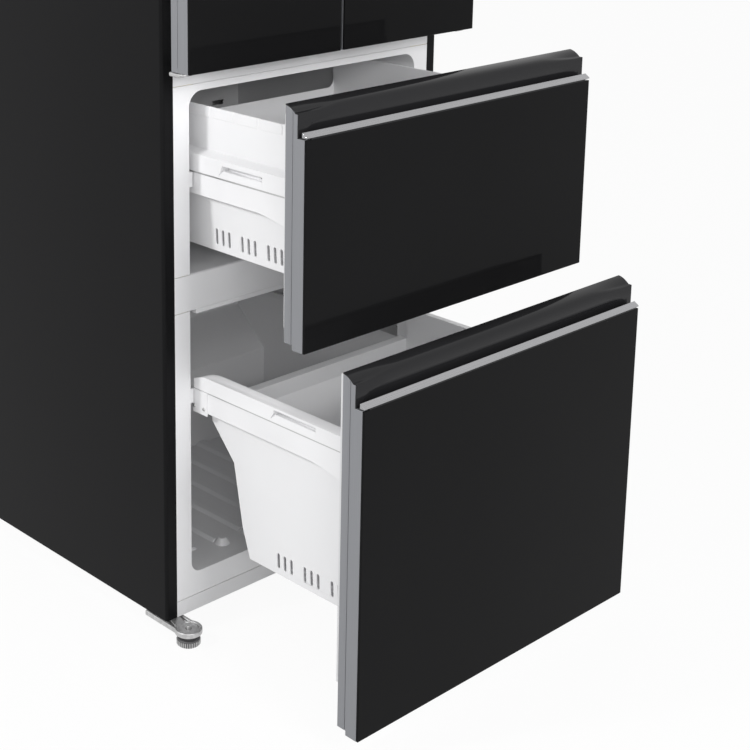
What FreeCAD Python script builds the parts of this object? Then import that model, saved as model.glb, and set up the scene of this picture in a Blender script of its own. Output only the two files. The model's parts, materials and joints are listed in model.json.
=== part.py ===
import FreeCAD, Part
import math
import os

# Fridge freezer with two doors above two drawers, standing on the floor with its drawers open.
# Sizes are in millimetres. X runs to the right, Y from the front frame into the cabinet, Z up from the floor.
Vector = FreeCAD.Vector
ALONG_X = Vector(1, 0, 0)
ALONG_Y = Vector(0, 1, 0)
ALONG_Z = Vector(0, 0, 1)

# Cabinet
cabinet_width = 680.0
cabinet_depth = 592.0
cabinet_top = 1878.0
floor_gap = 34.0
sheet = 1.2
bend_radius = 6.0
flange_width = 24.0
side_wall = 59.0
liner_wall = 2.5
rear_wall = 88.0
evaporator_space = 45.0
corner_radius = 28.0
lower_corner_radius = 22.0
seam_gap = 0.8

# Heights of the front frame, from the bottom up
base_strip_height = 30.0
lower_sill = 74.0
lower_opening = 501.0
divider_height = 66.0
upper_opening = 321.0
upper_frame_height = 13.0
middle_beam_height = 61.0
fridge_sill = 5.0
top_wall = 38.0
beam_depth = 30.0
divider_lip_height = 9.0
divider_lip_depth = 14.0
divider_lip_inset = 15.0

# Machine space at the lower back
hump_depth = 86.0
hump_shoulder = 172.0
hump_top = 251.0
machine_wall = 44.0
machine_top = 300.0
floor_rib_width = 28.0
floor_rib_height = 6.0
floor_rib_pitch = 65.0
floor_rib_count = 8
floor_rib_start = 65.0
floor_boss_radius = 15.0
floor_boss_height = 12.0
floor_boss_front = 52.0

# Doors and drawer fronts
front_overhang = 10.0
front_sill = 4.0
lower_front_lap = 35.0
upper_front_lap = 40.0
front_gap = 3.0
door_gap = 9.0
door_top_gap = 2.0
door_seam = 7.0
glass_thickness = 4.0
glass_inset = 0.5
slab_depth = 45.0
inner_panel_depth = 25.5
seal_depth = 12.0
seal_width = 12.0
seal_reach = 14.0
seal_clearance = 0.3
panel_margin = 2.0
trim_width = 12.0
groove_back = 30.0
groove_size = 1.5
step_depth = 27.0
step_height = 8.0
plug_side_gap = 11.0
plug_end_gap = 14.0
plug_reach = 10.0

# Grip along the top of a drawer front
grip_height = 50.0
grip_setback = 17.0
grip_wall = 4.0
cap_thickness = 2.0
cap_drop = 11.0
cap_ledge = 6.5
cap_crown = 0.3
channel_depth = 18.0
channel_back = 27.0
channel_roof = 4.0
grip_face_bottom = 24.0
strip_depth = 9.2
strip_height = 8.0
strip_edge = 2.0
strip_rise = 2.8

# Drawer travel and rails
upper_open = 270.0
open_rail_end = 2.0
upper_rail_rise = 142.5
lower_rail_rise = 316.0
rail_height = 41.0
rail_back_gap = 16.0
rail_wall_gap = 11.5
rail_skin = 3.0
rail_inner_skin = 2.0
runner_width = 7.0
runner_height = 19.0
runner_lift = 3.0
runner_side_gap = 1.6
runner_fit = 0.3
runner_shortening = 6.0
shelf_rail_drop = 9.0
shelf_rail_thickness = 3.0
cabinet_rail_start = 80.0
rail_stop_front = 2.0
rail_stop_length = 18.0
rail_stop_width = 8.5
rail_stop_rise = 12.0
rail_stop_height = 27.0
gusset_drop = 23.0
gusset_length = 100.0
gusset_bow = 0.36
end_plate_length = 38.0
end_plate_thickness = 2.0
end_plate_overhang = 3.4
end_plate_drop = 5.0

# Baskets
basket_wall = 2.5
basket_back_gap = 43.0
upper_bar_height = 38.0
lower_bar_height = 30.0
upper_bar_slope = 7.0
lower_bar_slope = 4.0
bar_overhang = 3.0
upper_bar_proud = 16.0
lower_bar_proud = 8.5
upper_basket_depth = 100.0
upper_taper = 9.0
upper_rim_rise = 75.5
rim_band = 18.0
rim_proud = 1.5
rim_notch_start = 54.0
rim_notch_pitch = 59.0
rim_notch_width = 7.0
rear_wall_rise = 8.0
rear_corner = 16.0
rear_rim_rise = 9.5
rear_rim_width = 17.0
bar_end_run = 60.0
bar_end_drop = 13.0
lower_basket_end_gap = 25.0
lower_basket_depth = 257.0
lower_taper = 14.0
shoulder_drop = 20.0
kink_drop = 83.0
kink_run = 54.0
heel_drop = 203.0
heel_run = 71.0
floor_run = 87.0
vent_width = 6.0
vent_height = 28.0
vent_rounding = 0.45
vent_pitch = 16.0
vent_group_pitch = 65.0
vent_groups = 3
vents_in_group = 3
vent_floor_gap = 12.5
upper_vent_start = 67.0
lower_vent_start = 43.0
hold_start = 88.0
hold_length = 108.0
hold_height = 21.0
hold_depth = 9.0
hold_lip = 1.5
hold_slant = 11.0

# Hinges
hinge_inset = 4.0
hinge_from_front = 28.0
pin_radius = 5.0
pin_fit = 0.05
pin_length = 26.0
hinge_plate = 4.0
hinge_nose = 13.0
hinge_tail = 62.0
hinge_plate_width = 24.0
hinge_lift = 1.0
hinge_foot_width = 44.0
hinge_flange_width = 20.0
hinge_flange_height = 15.0
hinge_flange_thickness = 3.0
cover_height = 22.0
cover_margin = 4.0
cover_wall = 2.0

# Feet and rollers
foot_radius = 20.5
foot_inset = 20.0
foot_forward = 36.0
foot_disc = 13.0
foot_neck_radius = 13.0
foot_neck = 5.0
stud_radius = 5.0
stud_top = 31.0
foot_chamfer = 1.5
bracket_bottom = 22.0
bracket_thickness = 4.0
bracket_height = 10.0
bracket_rim = 6.0
bracket_nose = 25.0
bracket_width = 42.0
bracket_tail = 62.0
bracket_block = 22.0
bracket_web = 18.0
roller_radius = 16.0
roller_width = 22.0
roller_inset = 50.0
roller_from_back = 47.0
axle_radius = 4.0
ear_thickness = 3.0
ear_gap = 0.5
ear_length = 24.0

# Fridge interior
shelf_shares = (0.0, 0.328, 0.664)
crisper_shelf_gap = 9.7
shelf_thickness = 4.0
shelf_front = 120.0
shelf_back_gap = 24.0
shelf_side_gap = 1.0
ledge_width = 8.0
ledge_height = 6.0
duct_half_width = 70.0
duct_depth = 20.0
duct_bottom_rise = 215.0
duct_top_drop = 40.0
duct_slot_margin = 21.0
duct_slot_height = 8.0
duct_slot_pitch = 110.0
crisper_height = 160.0
crisper_front = 125.0
crisper_back_gap = 28.0
crisper_side_gap = 3.0
crisper_lift = 0.3
crisper_wall = 2.5
crisper_lip = 12.0
crisper_lip_margin = 55.0

# Door inner side
door_plug_reach = 18.0
door_plug_free_gap = 40.0
bin_shares = (0.2815, 0.5926, 0.8889)
bin_height = 90.0
bin_depth = 87.0
bin_wall = 2.5
bin_side_gap = 4.0
finger_groove_depth = 12.0
finger_groove_front = 8.0
finger_groove_back = 26.0
finger_groove_margin = 40.0
flap_width = 48.0
flap_thickness = 18.0
flap_pivot_x = 30.0
flap_pivot_y = 9.0
flap_root = 4.0
flap_front_gap = 0.5
flap_end_gap = 20.0
flap_pin_radius = 3.0
flap_pin_length = 5.0
ear_height = 6.0

# Cooling parts
fan_radius = 46.0
fan_hub_radius = 14.0
fan_depth = 16.0
fan_blades = 5
blade_thickness = 1.5
blade_tilt = 32.0
fan_pin_radius = 2.5
fan_gap = 3.0
cover_plate = 3.0
cover_fit = 0.3
cover_fan_rise = 235.0
cover_spoke = 6.0
cover_vent_width = 33.0
cover_vent_height = 10.0
cover_vent_rise = 146.0
cover_vent_from_wall = 42.0
coil_side_gap = 71.0
coil_height = 130.0
coil_rise = 14.0
coil_fins = 22
coil_tubes = 4
fin_thickness = 1.2
tube_radius = 4.0
compressor_from_wall = 168.8
compressor_radius = 54.0
compressor_height = 130.0
compressor_round = 20.0
compressor_plate = 6.0
compressor_feet = 11.0
compressor_foot_radius = 9.0
compressor_margin = 6.0
tray_half_length = 115.0
tray_height = 20.0
tray_wall = 2.0
tray_margin = 8.0
condenser_from_wall = 53.8
condenser_width = 225.0
condenser_top = 195.0
condenser_bottom = 50.0
condenser_margin = 12.0
condenser_fins = 16
shroud_thickness = 4.0
control_from_wall = 4.8
control_width = 38.0
control_height = 120.0
control_margin = 14.0
gland_radius = 9.0
gland_fit = 0.3
gland_rise = 80.0
louvre_width = 6.0
louvre_height = 120.0
louvre_pitch = 18.0
louvre_count = 12
louvre_rise = 60.0

# Derived places
half_cabinet = cabinet_width / 2
half_inside = half_cabinet - sheet
half_frame = half_cabinet - flange_width
half_opening = half_cabinet - side_wall
half_front = half_cabinet + front_overhang
compartment_depth = cabinet_depth - rear_wall
hump_front = compartment_depth - hump_depth
cabinet_bottom = floor_gap
pan_top = cabinet_bottom + sheet
rear_inside = cabinet_depth - sheet
lower_floor = cabinet_bottom + lower_sill
lower_ceiling = lower_floor + lower_opening
upper_floor = lower_ceiling + divider_height
upper_ceiling = upper_floor + upper_opening
middle_beam_bottom = upper_ceiling + upper_frame_height
middle_beam_top = middle_beam_bottom + middle_beam_height
fridge_floor = middle_beam_top + fridge_sill
fridge_ceiling = cabinet_top - top_wall
fridge_frame_top = cabinet_top - flange_width
fridge_height = fridge_ceiling - fridge_floor
first_shelf = crisper_lift + crisper_height + crisper_shelf_gap
shelf_rises = [first_shelf + share * (fridge_height - first_shelf) for share in shelf_shares]
bin_rises = [share * (fridge_height - bin_height) for share in bin_shares]
upper_rear = compartment_depth + evaporator_space
machine_front = hump_front + liner_wall + machine_wall
machine_shoulder = lower_floor + hump_shoulder - machine_wall
machine_slope = (compartment_depth - hump_front) / (hump_top - hump_shoulder)
machine_middle = (machine_front + rear_inside) / 2
front_plane = -(slab_depth + inner_panel_depth + seal_depth + seal_clearance)
seal_face = front_plane + slab_depth + inner_panel_depth
door_bottom = upper_ceiling + upper_front_lap + door_gap
door_top = cabinet_top - door_top_gap
half_seam = door_seam / 2
half_plug = half_opening - plug_side_gap
hinge_x = half_cabinet - hinge_inset
hinge_y = front_plane + hinge_from_front
hinge_edge = -half_cabinet + bend_radius
foot_x = half_cabinet - foot_inset
coil_half_width = half_opening - coil_side_gap
compressor_x = -half_inside + compressor_from_wall
condenser_right = half_inside - condenser_from_wall
condenser_left = condenser_right - condenser_width
control_right = half_inside - control_from_wall
control_left = control_right - control_width
upper_basket_length = compartment_depth - plug_reach - basket_back_gap
lower_rail_length = hump_front - plug_reach - rail_back_gap
lower_basket_top_length = lower_rail_length - lower_basket_end_gap
lower_open = plug_reach + lower_rail_length - open_rail_end
rail_outer = half_opening - rail_wall_gap
bar_outer = rail_outer + bar_overhang
runner_outer = rail_outer - rail_skin - runner_side_gap
runner_inner = runner_outer - runner_width
rail_inner = runner_inner - runner_side_gap - rail_inner_skin
basket_half = rail_inner - runner_fit
row_shift = Vector(0, -(cabinet_depth + front_plane - lower_open) / 2, 0)


class Drawer:
    """Heights, opening, rail, basket bar and vents of one drawer."""

    def __init__(self, floor, ceiling, bottom, top, opened, rail_rise, rail_length, basket_depth, bar_height,
                 vent_start):
        self.floor = floor
        self.ceiling = ceiling
        self.bottom = bottom
        self.top = top
        self.opened = opened
        self.rail_bottom = floor + rail_rise
        self.rail_top = self.rail_bottom + rail_height
        self.rail_length = rail_length
        self.basket_floor = self.rail_bottom - basket_depth
        self.bar_top = self.rail_top + bar_height
        self.vent_start = vent_start
        self.front = front_plane - opened
        self.plug_face = plug_reach - opened
        self.glass_top = top - grip_height


lower_front_top = lower_ceiling + lower_front_lap
upper_front_top = upper_ceiling + upper_front_lap
upper_drawer = Drawer(upper_floor, upper_ceiling, lower_front_top + front_gap, upper_front_top, upper_open,
                      upper_rail_rise, upper_basket_length, upper_basket_depth, upper_bar_height,
                      upper_vent_start)
lower_drawer = Drawer(lower_floor, lower_ceiling, cabinet_bottom + front_sill, lower_front_top, lower_open,
                      lower_rail_rise, lower_rail_length, lower_basket_depth, lower_bar_height,
                      lower_vent_start)


def box(x0, x1, y0, y1, z0, z1):
    """Block between two corners."""
    return Part.makeBox(x1 - x0, y1 - y0, z1 - z0, Vector(x0, y0, z0))


def extrude(points, direction):
    """Straight prism on a closed outline."""
    return Part.Face(Part.makePolygon(points + points[:1])).extrude(direction)


def side_prism(profile, x0, x1):
    """Prism along X on an outline of (y, z) points."""
    return extrude([Vector(x0, y, z) for y, z in profile], ALONG_X * (x1 - x0))


def curved_prism(curve, points, x0, x1):
    """Prism along X on a curve in the YZ plane closed by straight lines through (y, z) points."""
    lines = Part.makePolygon([Vector(0, y, z) for y, z in points])
    face = Part.Face(Part.Wire(Part.__sortEdges__(curve.Edges + lines.Edges)))
    face.translate(ALONG_X * x0)
    return face.extrude(ALONG_X * (x1 - x0))


def front_prism(outline, y0, y1):
    """Prism along Y on an outline of (x, z) points."""
    return extrude([Vector(x, y0, z) for x, z in outline], ALONG_Y * (y1 - y0))


def plan_prism(outline, z0, z1):
    """Prism along Z on an outline of (x, y) points."""
    return extrude([Vector(x, y, z0) for x, y in outline], ALONG_Z * (z1 - z0))


def rod(radius, length, x, y, z, direction):
    """Round bar from a point along a direction."""
    return Part.makeCylinder(radius, length, Vector(x, y, z), direction)


def fuse(first, *others):
    """One solid out of touching ones."""
    return first.multiFuse(list(others)).removeSplitter()


def mirrored(shape):
    """Copy on the other side of the middle plane."""
    return shape.mirror(Vector(0, 0, 0), ALONG_X)


def pair(shape):
    """A left piece and its mirror image."""
    return Part.makeCompound([shape, mirrored(shape)])


def round_edges(shape, radius, axis, chosen):
    """Fillet the straight edges along an axis whose middle passes a test."""
    edges = []
    for edge in shape.Edges:
        start, end = edge.Vertexes[0].Point, edge.Vertexes[-1].Point
        if abs((end - start).dot(axis)) > 0.999 * edge.Length and chosen(edge.CenterOfMass):
            edges.append(edge)
    return shape.makeFillet(radius, edges)


def everywhere(middle):
    """Test that takes every edge."""
    return True


def sheet_core(z0, z1, radius):
    """Inside of the bent cabinet sheets, with rounded front corners."""
    block = box(-half_inside, half_inside, sheet, rear_inside, z0, z1)
    return round_edges(block, radius, ALONG_Z, lambda middle: middle.y < compartment_depth / 2)


def side_panels():
    """Black side sheets, each bent round the front into a return flange."""
    def near_front(middle):
        return middle.x < -half_frame - bend_radius and middle.y < bend_radius

    outer = box(-half_cabinet, -half_frame, 0, cabinet_depth, cabinet_bottom, cabinet_top)
    outer = round_edges(outer, bend_radius, ALONG_Z, near_front)
    inner = box(-half_inside, half_frame, sheet, cabinet_depth + sheet, cabinet_bottom - sheet,
                cabinet_top + sheet)
    inner = round_edges(inner, bend_radius - sheet, ALONG_Z, near_front)
    return pair(outer.cut(inner))


def top_panel():
    """Top sheet with its front flange."""
    plate = sheet_core(cabinet_top - sheet, cabinet_top, bend_radius - sheet)
    back = box(-half_inside, half_inside, rear_inside, cabinet_depth, cabinet_top - sheet, cabinet_top)
    flange = box(-half_frame, half_frame, 0, sheet, fridge_frame_top, cabinet_top)
    return fuse(plate, back, flange)


def rear_panel():
    """Back sheet above the machine space."""
    return box(-half_inside, half_inside, rear_inside, cabinet_depth, machine_top, cabinet_top - sheet)


def base_pan():
    """Bottom sheet with the front strip, the roller ears and their axles."""
    pan = sheet_core(cabinet_bottom, pan_top, bend_radius - sheet)
    pieces = [front_frame(cabinet_bottom, cabinet_bottom + base_strip_height)]
    centre_y = cabinet_depth - roller_from_back
    reach = roller_width / 2 + ear_gap
    for side in (-1, 1):
        centre_x = side * (half_cabinet - roller_inset)
        for ear in (-reach - ear_thickness, reach):
            pieces.append(box(centre_x + ear, centre_x + ear + ear_thickness, centre_y - ear_length / 2,
                              centre_y + ear_length / 2, roller_radius - axle_radius * 2, cabinet_bottom))
        pieces.append(rod(axle_radius, 2 * reach, centre_x - reach, centre_y, roller_radius, ALONG_X))
    return fuse(pan, *pieces)


def rear_rollers():
    """Rollers under the back, on one axis."""
    centre_y = cabinet_depth - roller_from_back
    start_x = -half_cabinet + roller_inset - roller_width / 2
    wheel = rod(roller_radius, roller_width, start_x, centre_y, roller_radius, ALONG_X)
    bore = rod(axle_radius + pin_fit, roller_width, start_x, centre_y, roller_radius, ALONG_X)
    return pair(wheel.cut(bore))


def rounded_opening(half, y0, y1, z0, z1, radius, chosen):
    """Straight block along Y with chosen corners rounded."""
    return round_edges(box(-half, half, y0, y1, z0, z1), radius, ALONG_Y, chosen)


def fridge_cavity(margin, y0, y1):
    """Space of the fridge compartment, grown by a margin."""
    return rounded_opening(half_opening + margin, y0, y1, fridge_floor - margin, fridge_ceiling + margin,
                           corner_radius + margin, everywhere)


def upper_cavity(margin, y0, y1):
    """Space of the upper freezer compartment, grown by a margin."""
    middle_z = (upper_floor + upper_ceiling) / 2
    return rounded_opening(half_opening + margin, y0, y1, upper_floor - margin, upper_ceiling + margin,
                           corner_radius + margin, lambda middle: middle.z > middle_z)


def lower_cavity(margin, y0):
    """Space of the lower freezer compartment with the hump, grown by a margin."""
    floor, ceiling = lower_floor - margin, lower_ceiling + margin
    profile = [(y0, floor), (hump_front + margin, floor), (hump_front + margin, lower_floor + hump_shoulder),
               (compartment_depth + margin, lower_floor + hump_top), (compartment_depth + margin, ceiling),
               (y0, ceiling)]
    solid = side_prism(profile, -half_opening - margin, half_opening + margin)
    return round_edges(solid, lower_corner_radius + margin, ALONG_Y, lambda middle: middle.z < floor + 1)


def front_frame(z0, z1):
    """White flat frame round an opening, with a fine seam above it."""
    return box(-half_frame, half_frame, 0, liner_wall, z0, z1 - seam_gap)


def fridge_liner():
    """White inner shell of the fridge with ledges for its shelves."""
    shell = fuse(front_frame(middle_beam_top, fridge_frame_top),
                 fridge_cavity(liner_wall, liner_wall, compartment_depth + liner_wall))
    shell = shell.cut(fridge_cavity(0, -sheet, compartment_depth))
    ledges = []
    for rise in shelf_rises:
        shelf_bottom = fridge_floor + rise
        left = box(-half_opening, -half_opening + ledge_width, shelf_front, compartment_depth,
                   shelf_bottom - ledge_height, shelf_bottom)
        ledges += [left, mirrored(left)]
    return fuse(shell, *ledges)


def upper_freezer_liner():
    """White inner shell behind the upper drawer, with room for the evaporator at its back."""
    shell = fuse(front_frame(upper_floor, middle_beam_bottom),
                 upper_cavity(liner_wall, liner_wall, upper_rear + liner_wall))
    return shell.cut(upper_cavity(0, -sheet, upper_rear))


def lower_freezer_liner():
    """White inner shell behind the lower drawer, with floor ribs and two bosses."""
    shell = fuse(front_frame(cabinet_bottom + base_strip_height, lower_ceiling),
                 lower_cavity(liner_wall, liner_wall))
    shell = shell.cut(lower_cavity(0, -sheet))
    features = []
    first = -(floor_rib_count - 1) / 2
    for index in range(floor_rib_count):
        x = (first + index) * floor_rib_pitch
        half_top = floor_rib_width / 2 - floor_rib_height
        outline = [(x - floor_rib_width / 2, lower_floor), (x - half_top, lower_floor + floor_rib_height),
                   (x + half_top, lower_floor + floor_rib_height), (x + floor_rib_width / 2, lower_floor)]
        features.append(front_prism(outline, floor_rib_start, hump_front))
    for index in (1, 2, floor_rib_count - 3, floor_rib_count - 2):
        x = (first + index) * floor_rib_pitch
        features.append(Part.makeCone(floor_boss_radius, floor_boss_radius / 2, floor_boss_height,
                                      Vector(x, floor_boss_front, lower_floor), ALONG_Z))
    return fuse(shell, *features)


def divider_beam():
    """Front beam between the two drawers, with a lip under it."""
    face = front_frame(lower_ceiling, upper_floor)
    core = box(-half_plug, half_plug, liner_wall, beam_depth, lower_ceiling + liner_wall,
               upper_floor - liner_wall)
    lip_half = half_opening - divider_lip_inset
    lip = box(-lip_half, lip_half, sheet, divider_lip_depth, lower_ceiling - divider_lip_height,
              lower_ceiling)
    return fuse(face, core, lip)


def middle_beam():
    """Front beam between the fridge and the freezer."""
    face = front_frame(middle_beam_bottom, middle_beam_top)
    core = box(-half_plug, half_plug, liner_wall, beam_depth, upper_ceiling + liner_wall,
               fridge_floor - liner_wall)
    return fuse(face, core)


def machine_space():
    """Open space for the compressor at the lower back."""
    slope_end = machine_front + (machine_top - machine_shoulder) * machine_slope
    profile = [(machine_front, pan_top), (machine_front, machine_shoulder), (slope_end, machine_top),
               (rear_inside, machine_top), (rear_inside, pan_top)]
    return side_prism(profile, -half_inside, half_inside)


def insulation_foam():
    """Foam that fills the space between the sheets and the liners."""
    block = sheet_core(pan_top, cabinet_top - sheet, bend_radius - sheet)
    frame = box(-half_frame, half_frame, 0, liner_wall, cabinet_bottom, fridge_frame_top)
    hollows = [frame, machine_space(), fridge_cavity(liner_wall, liner_wall, compartment_depth + liner_wall),
               upper_cavity(liner_wall, liner_wall, upper_rear + liner_wall),
               lower_cavity(liner_wall, liner_wall), divider_beam(), middle_beam()]
    return block.cut(hollows)


def hinge_arm(tail, z0):
    """Flat plate from a round nose at the left hinge axis back to the given tail points."""
    outline = [(-hinge_x - hinge_nose, hinge_y)] + tail + [(-hinge_x + hinge_nose, hinge_y)]
    nose = rod(hinge_nose, hinge_plate, -hinge_x, hinge_y, z0, ALONG_Z)
    return fuse(plan_prism(outline, z0, z0 + hinge_plate), nose)


def top_hinge_plate():
    """Plate of the left top hinge, lying on the cabinet top."""
    inner = hinge_edge + hinge_plate_width
    tail = [(hinge_edge, 0), (hinge_edge, hinge_tail), (inner, hinge_tail), (inner, 0)]
    return hinge_arm(tail, cabinet_top)


def top_hinges():
    """Plates on the cabinet top with pins down into the doors."""
    pin = rod(pin_radius, pin_length, -hinge_x, hinge_y, cabinet_top, ALONG_Z * -1)
    return pair(fuse(top_hinge_plate(), pin))


def middle_hinges():
    """Plates under the doors with pins up into them and an inner flange on the frame."""
    z1 = door_bottom - hinge_lift
    z0 = z1 - hinge_plate
    inner = hinge_edge + hinge_foot_width
    plate = hinge_arm([(hinge_edge, 0), (inner, 0)], z0)
    pin = rod(pin_radius, pin_length, -hinge_x, hinge_y, z1, ALONG_Z)
    flange = box(inner - hinge_flange_width, inner, -hinge_flange_thickness, 0, z0, z1 + hinge_flange_height)
    return pair(fuse(plate, pin, flange))


def hinge_covers():
    """Plastic caps over the top hinges."""
    front, back = hinge_y - hinge_nose - cover_margin, hinge_tail + cover_margin
    inner = hinge_edge + hinge_plate_width + cover_margin
    outline = [(-half_front, front), (-half_front, hinge_y), (hinge_edge - cover_wall, 0),
               (hinge_edge - cover_wall, back), (inner, back), (inner, front)]
    cap = plan_prism(outline, cabinet_top, cabinet_top + cover_height)
    cap = round_edges(cap, cover_margin, ALONG_Z, everywhere)
    over_door = box(-half_front, 0, front, 0, cabinet_top, cabinet_top + hinge_plate)
    return pair(cap.cut([top_hinge_plate(), over_door]))


def bracket_plan(inset, z0, z1):
    """Plan of the left foot bracket drawn in by an inset: a round nose over the foot and a straight tail."""
    half = bracket_width / 2 - inset
    tail = box(-foot_x - half, -foot_x + half, -foot_forward, bracket_tail, z0, z1)
    return fuse(tail, rod(bracket_nose - inset, z1 - z0, -foot_x, -foot_forward, z0, ALONG_Z))


def foot_brackets():
    """Zinc brackets with raised rims under the front corners that carry the levelling feet."""
    plate_top = bracket_bottom + bracket_thickness
    rim_top = bracket_bottom + bracket_height
    tray = bracket_plan(0, bracket_bottom, rim_top).cut(bracket_plan(bracket_rim, plate_top, rim_top))
    profile = [(-bracket_web, plate_top), (sheet, cabinet_bottom), (bracket_tail, cabinet_bottom),
               (bracket_tail, plate_top)]
    block = side_prism(profile, -foot_x - bracket_block / 2, -foot_x + bracket_block / 2)
    hole = rod(stud_radius + pin_fit, bracket_thickness, -foot_x, -foot_forward, bracket_bottom, ALONG_Z)
    return pair(fuse(tray, block).cut(hole))


def levelling_foot():
    """Round foot with a neck and a threaded stud, at the left front."""
    disc = rod(foot_radius, foot_disc, -foot_x, -foot_forward, 0, ALONG_Z)
    disc = disc.makeChamfer(foot_chamfer, [edge for edge in disc.Edges if edge.Length > 6 * foot_radius])
    neck = rod(foot_neck_radius, foot_neck, -foot_x, -foot_forward, foot_disc, ALONG_Z)
    stud = rod(stud_radius, stud_top - foot_disc, -foot_x, -foot_forward, foot_disc, ALONG_Z)
    return fuse(disc, neck, stud)


def fridge_shelves():
    """Glass shelves on the liner's ledges, the lowest one over the crispers."""
    half = half_opening - shelf_side_gap
    shelves = []
    for rise in shelf_rises:
        z = fridge_floor + rise
        back = compartment_depth - shelf_back_gap
        shelves.append(box(-half, half, shelf_front, back, z, z + shelf_thickness))
    return Part.makeCompound(shelves)


def air_duct():
    """Duct on the fridge's rear wall with outlet slots."""
    z0, z1 = fridge_floor + duct_bottom_rise, fridge_ceiling - duct_top_drop
    duct = box(-duct_half_width, duct_half_width, compartment_depth - duct_depth, compartment_depth, z0, z1)
    slots = []
    count = int((z1 - z0) / duct_slot_pitch)
    half_slot = duct_half_width - duct_slot_margin
    for index in range(count):
        z = z0 + (index + 0.5) * duct_slot_pitch
        slots.append(box(-half_slot, half_slot, compartment_depth - duct_depth,
                         compartment_depth - duct_depth / 2, z, z + duct_slot_height))
    return duct.cut(slots)


def crisper():
    """Open box on the fridge floor, on the left, with a pull lip at its front."""
    x0, x1 = -half_opening + crisper_side_gap, -crisper_side_gap / 2
    y1 = compartment_depth - crisper_back_gap
    z0 = fridge_floor + crisper_lift
    z1 = z0 + crisper_height
    outer = round_edges(box(x0, x1, crisper_front, y1, z0, z1), corner_radius, ALONG_Y,
                        lambda middle: middle.z < z1 - 1 and middle.x < x0 + 1)
    space = box(x0 + crisper_wall, x1 - crisper_wall, crisper_front + crisper_wall, y1 - crisper_wall,
                z0 + crisper_wall, z1 + crisper_wall)
    inner = round_edges(space, corner_radius - crisper_wall, ALONG_Y,
                        lambda middle: middle.z < z1 - 1 and middle.x < x0 + crisper_wall + 1)
    lip = box(x0 + crisper_lip_margin, x1 - crisper_lip_margin, crisper_front - crisper_lip, crisper_front,
              z1 - crisper_lip, z1)
    return fuse(outer.cut(inner), lip)


def cabinet_rails():
    """Fixed rails and front stops on the freezer liners, one each side of each drawer."""
    rails = []
    for drawer in (upper_drawer, lower_drawer):
        z = drawer.rail_bottom
        end = plug_reach + drawer.rail_length
        stop_bottom = z + rail_stop_rise
        stop = box(-half_opening, -half_opening + rail_stop_width, rail_stop_front,
                   rail_stop_front + rail_stop_length, stop_bottom, stop_bottom + rail_stop_height)
        rails += [stop, mirrored(stop)]
        shelf = box(-half_opening, -runner_inner, cabinet_rail_start, end,
                    z - shelf_rail_drop, z - shelf_rail_drop + shelf_rail_thickness)
        web = box(-half_opening, -half_opening + rail_inner_skin, cabinet_rail_start, end,
                  z - shelf_rail_drop, z + shelf_rail_drop)
        lip = box(-runner_outer, -runner_inner, cabinet_rail_start, end,
                  z - shelf_rail_drop, z + runner_lift - runner_fit)
        left = fuse(shelf, web, lip)
        rails += [left, mirrored(left)]
    return Part.makeCompound(rails)


def middle_rails(drawer):
    """Middle members of a drawer's rails, drawn out half as far as the drawer."""
    shift = -drawer.opened / 2
    z = drawer.rail_bottom + runner_lift
    y0 = plug_reach + runner_shortening + shift
    y1 = plug_reach + drawer.rail_length - runner_shortening + shift
    return pair(box(-runner_outer, -runner_inner, y0, y1, z, z + runner_height))


def drawer_rails(drawer):
    """Drawer members of the rails, hung over the middle members, with end plates."""
    y0 = drawer.plug_face
    y1 = y0 + drawer.rail_length
    z0, z1 = drawer.rail_bottom, drawer.rail_top
    cavity_top = z0 + runner_lift + runner_height + runner_fit
    bend = Vector(0, y0 + gusset_length / 2, z0 - gusset_drop * gusset_bow)
    curve = Part.Arc(Vector(0, y0, z0 - gusset_drop), bend, Vector(0, y0 + gusset_length, z0)).toShape()
    rest = [(y0 + gusset_length, z0), (y1, z0), (y1, z1), (y0, z1), (y0, z0 - gusset_drop)]
    skin = curved_prism(curve, rest, -rail_outer, -rail_outer + rail_skin)
    block = box(-rail_outer + rail_skin, -rail_inner, y0, y1, cavity_top, z1)
    inner = box(-rail_inner - rail_inner_skin, -rail_inner, y0, y1, z0 + runner_lift, cavity_top)
    plate_end = y1 + end_plate_overhang
    end_plate = box(-rail_outer - end_plate_thickness, -rail_outer, plate_end - end_plate_length, plate_end,
                    z0 - end_plate_drop, z1 - end_plate_thickness)
    return pair(fuse(skin, block, inner, end_plate))


def drawer_core(drawer):
    """Foam-filled core of a drawer front with its white inner panel."""
    half = half_front - trim_width
    slab = side_prism(front_base(drawer) + grip_back(drawer)[::-1], -half, half)
    panel_half = half_frame + panel_margin
    panel_back = seal_face - drawer.opened
    inner = box(-panel_half, panel_half, drawer.front + slab_depth, panel_back,
                drawer.floor - seal_reach - panel_margin, drawer.ceiling + seal_reach + panel_margin)
    plug = box(-half_plug, half_plug, panel_back, drawer.plug_face,
               drawer.floor + plug_end_gap, drawer.ceiling - plug_end_gap)
    return fuse(slab, inner, plug)


def front_base(drawer):
    """Lower outline of a drawer front from behind the glass to the back, as (y, z) points."""
    return [(drawer.front + glass_thickness, drawer.bottom), (drawer.front + step_depth, drawer.bottom),
            (drawer.front + step_depth, drawer.bottom + step_height),
            (drawer.front + slab_depth, drawer.bottom + step_height)]


def grip_back(drawer):
    """Outline between the grip and the core, from the front up to the back."""
    low = drawer.glass_top - channel_depth - grip_wall
    back = channel_back + grip_wall
    return [(drawer.front + glass_thickness, low), (drawer.front + back, low),
            (drawer.front + back, drawer.top - cap_drop - grip_wall),
            (drawer.front + slab_depth, drawer.top - cap_thickness)]


def drawer_glass(drawer):
    """Black glass of a drawer front."""
    half = half_front - glass_inset
    return box(-half, half, drawer.front, drawer.front + glass_thickness, drawer.bottom, drawer.glass_top)


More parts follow.
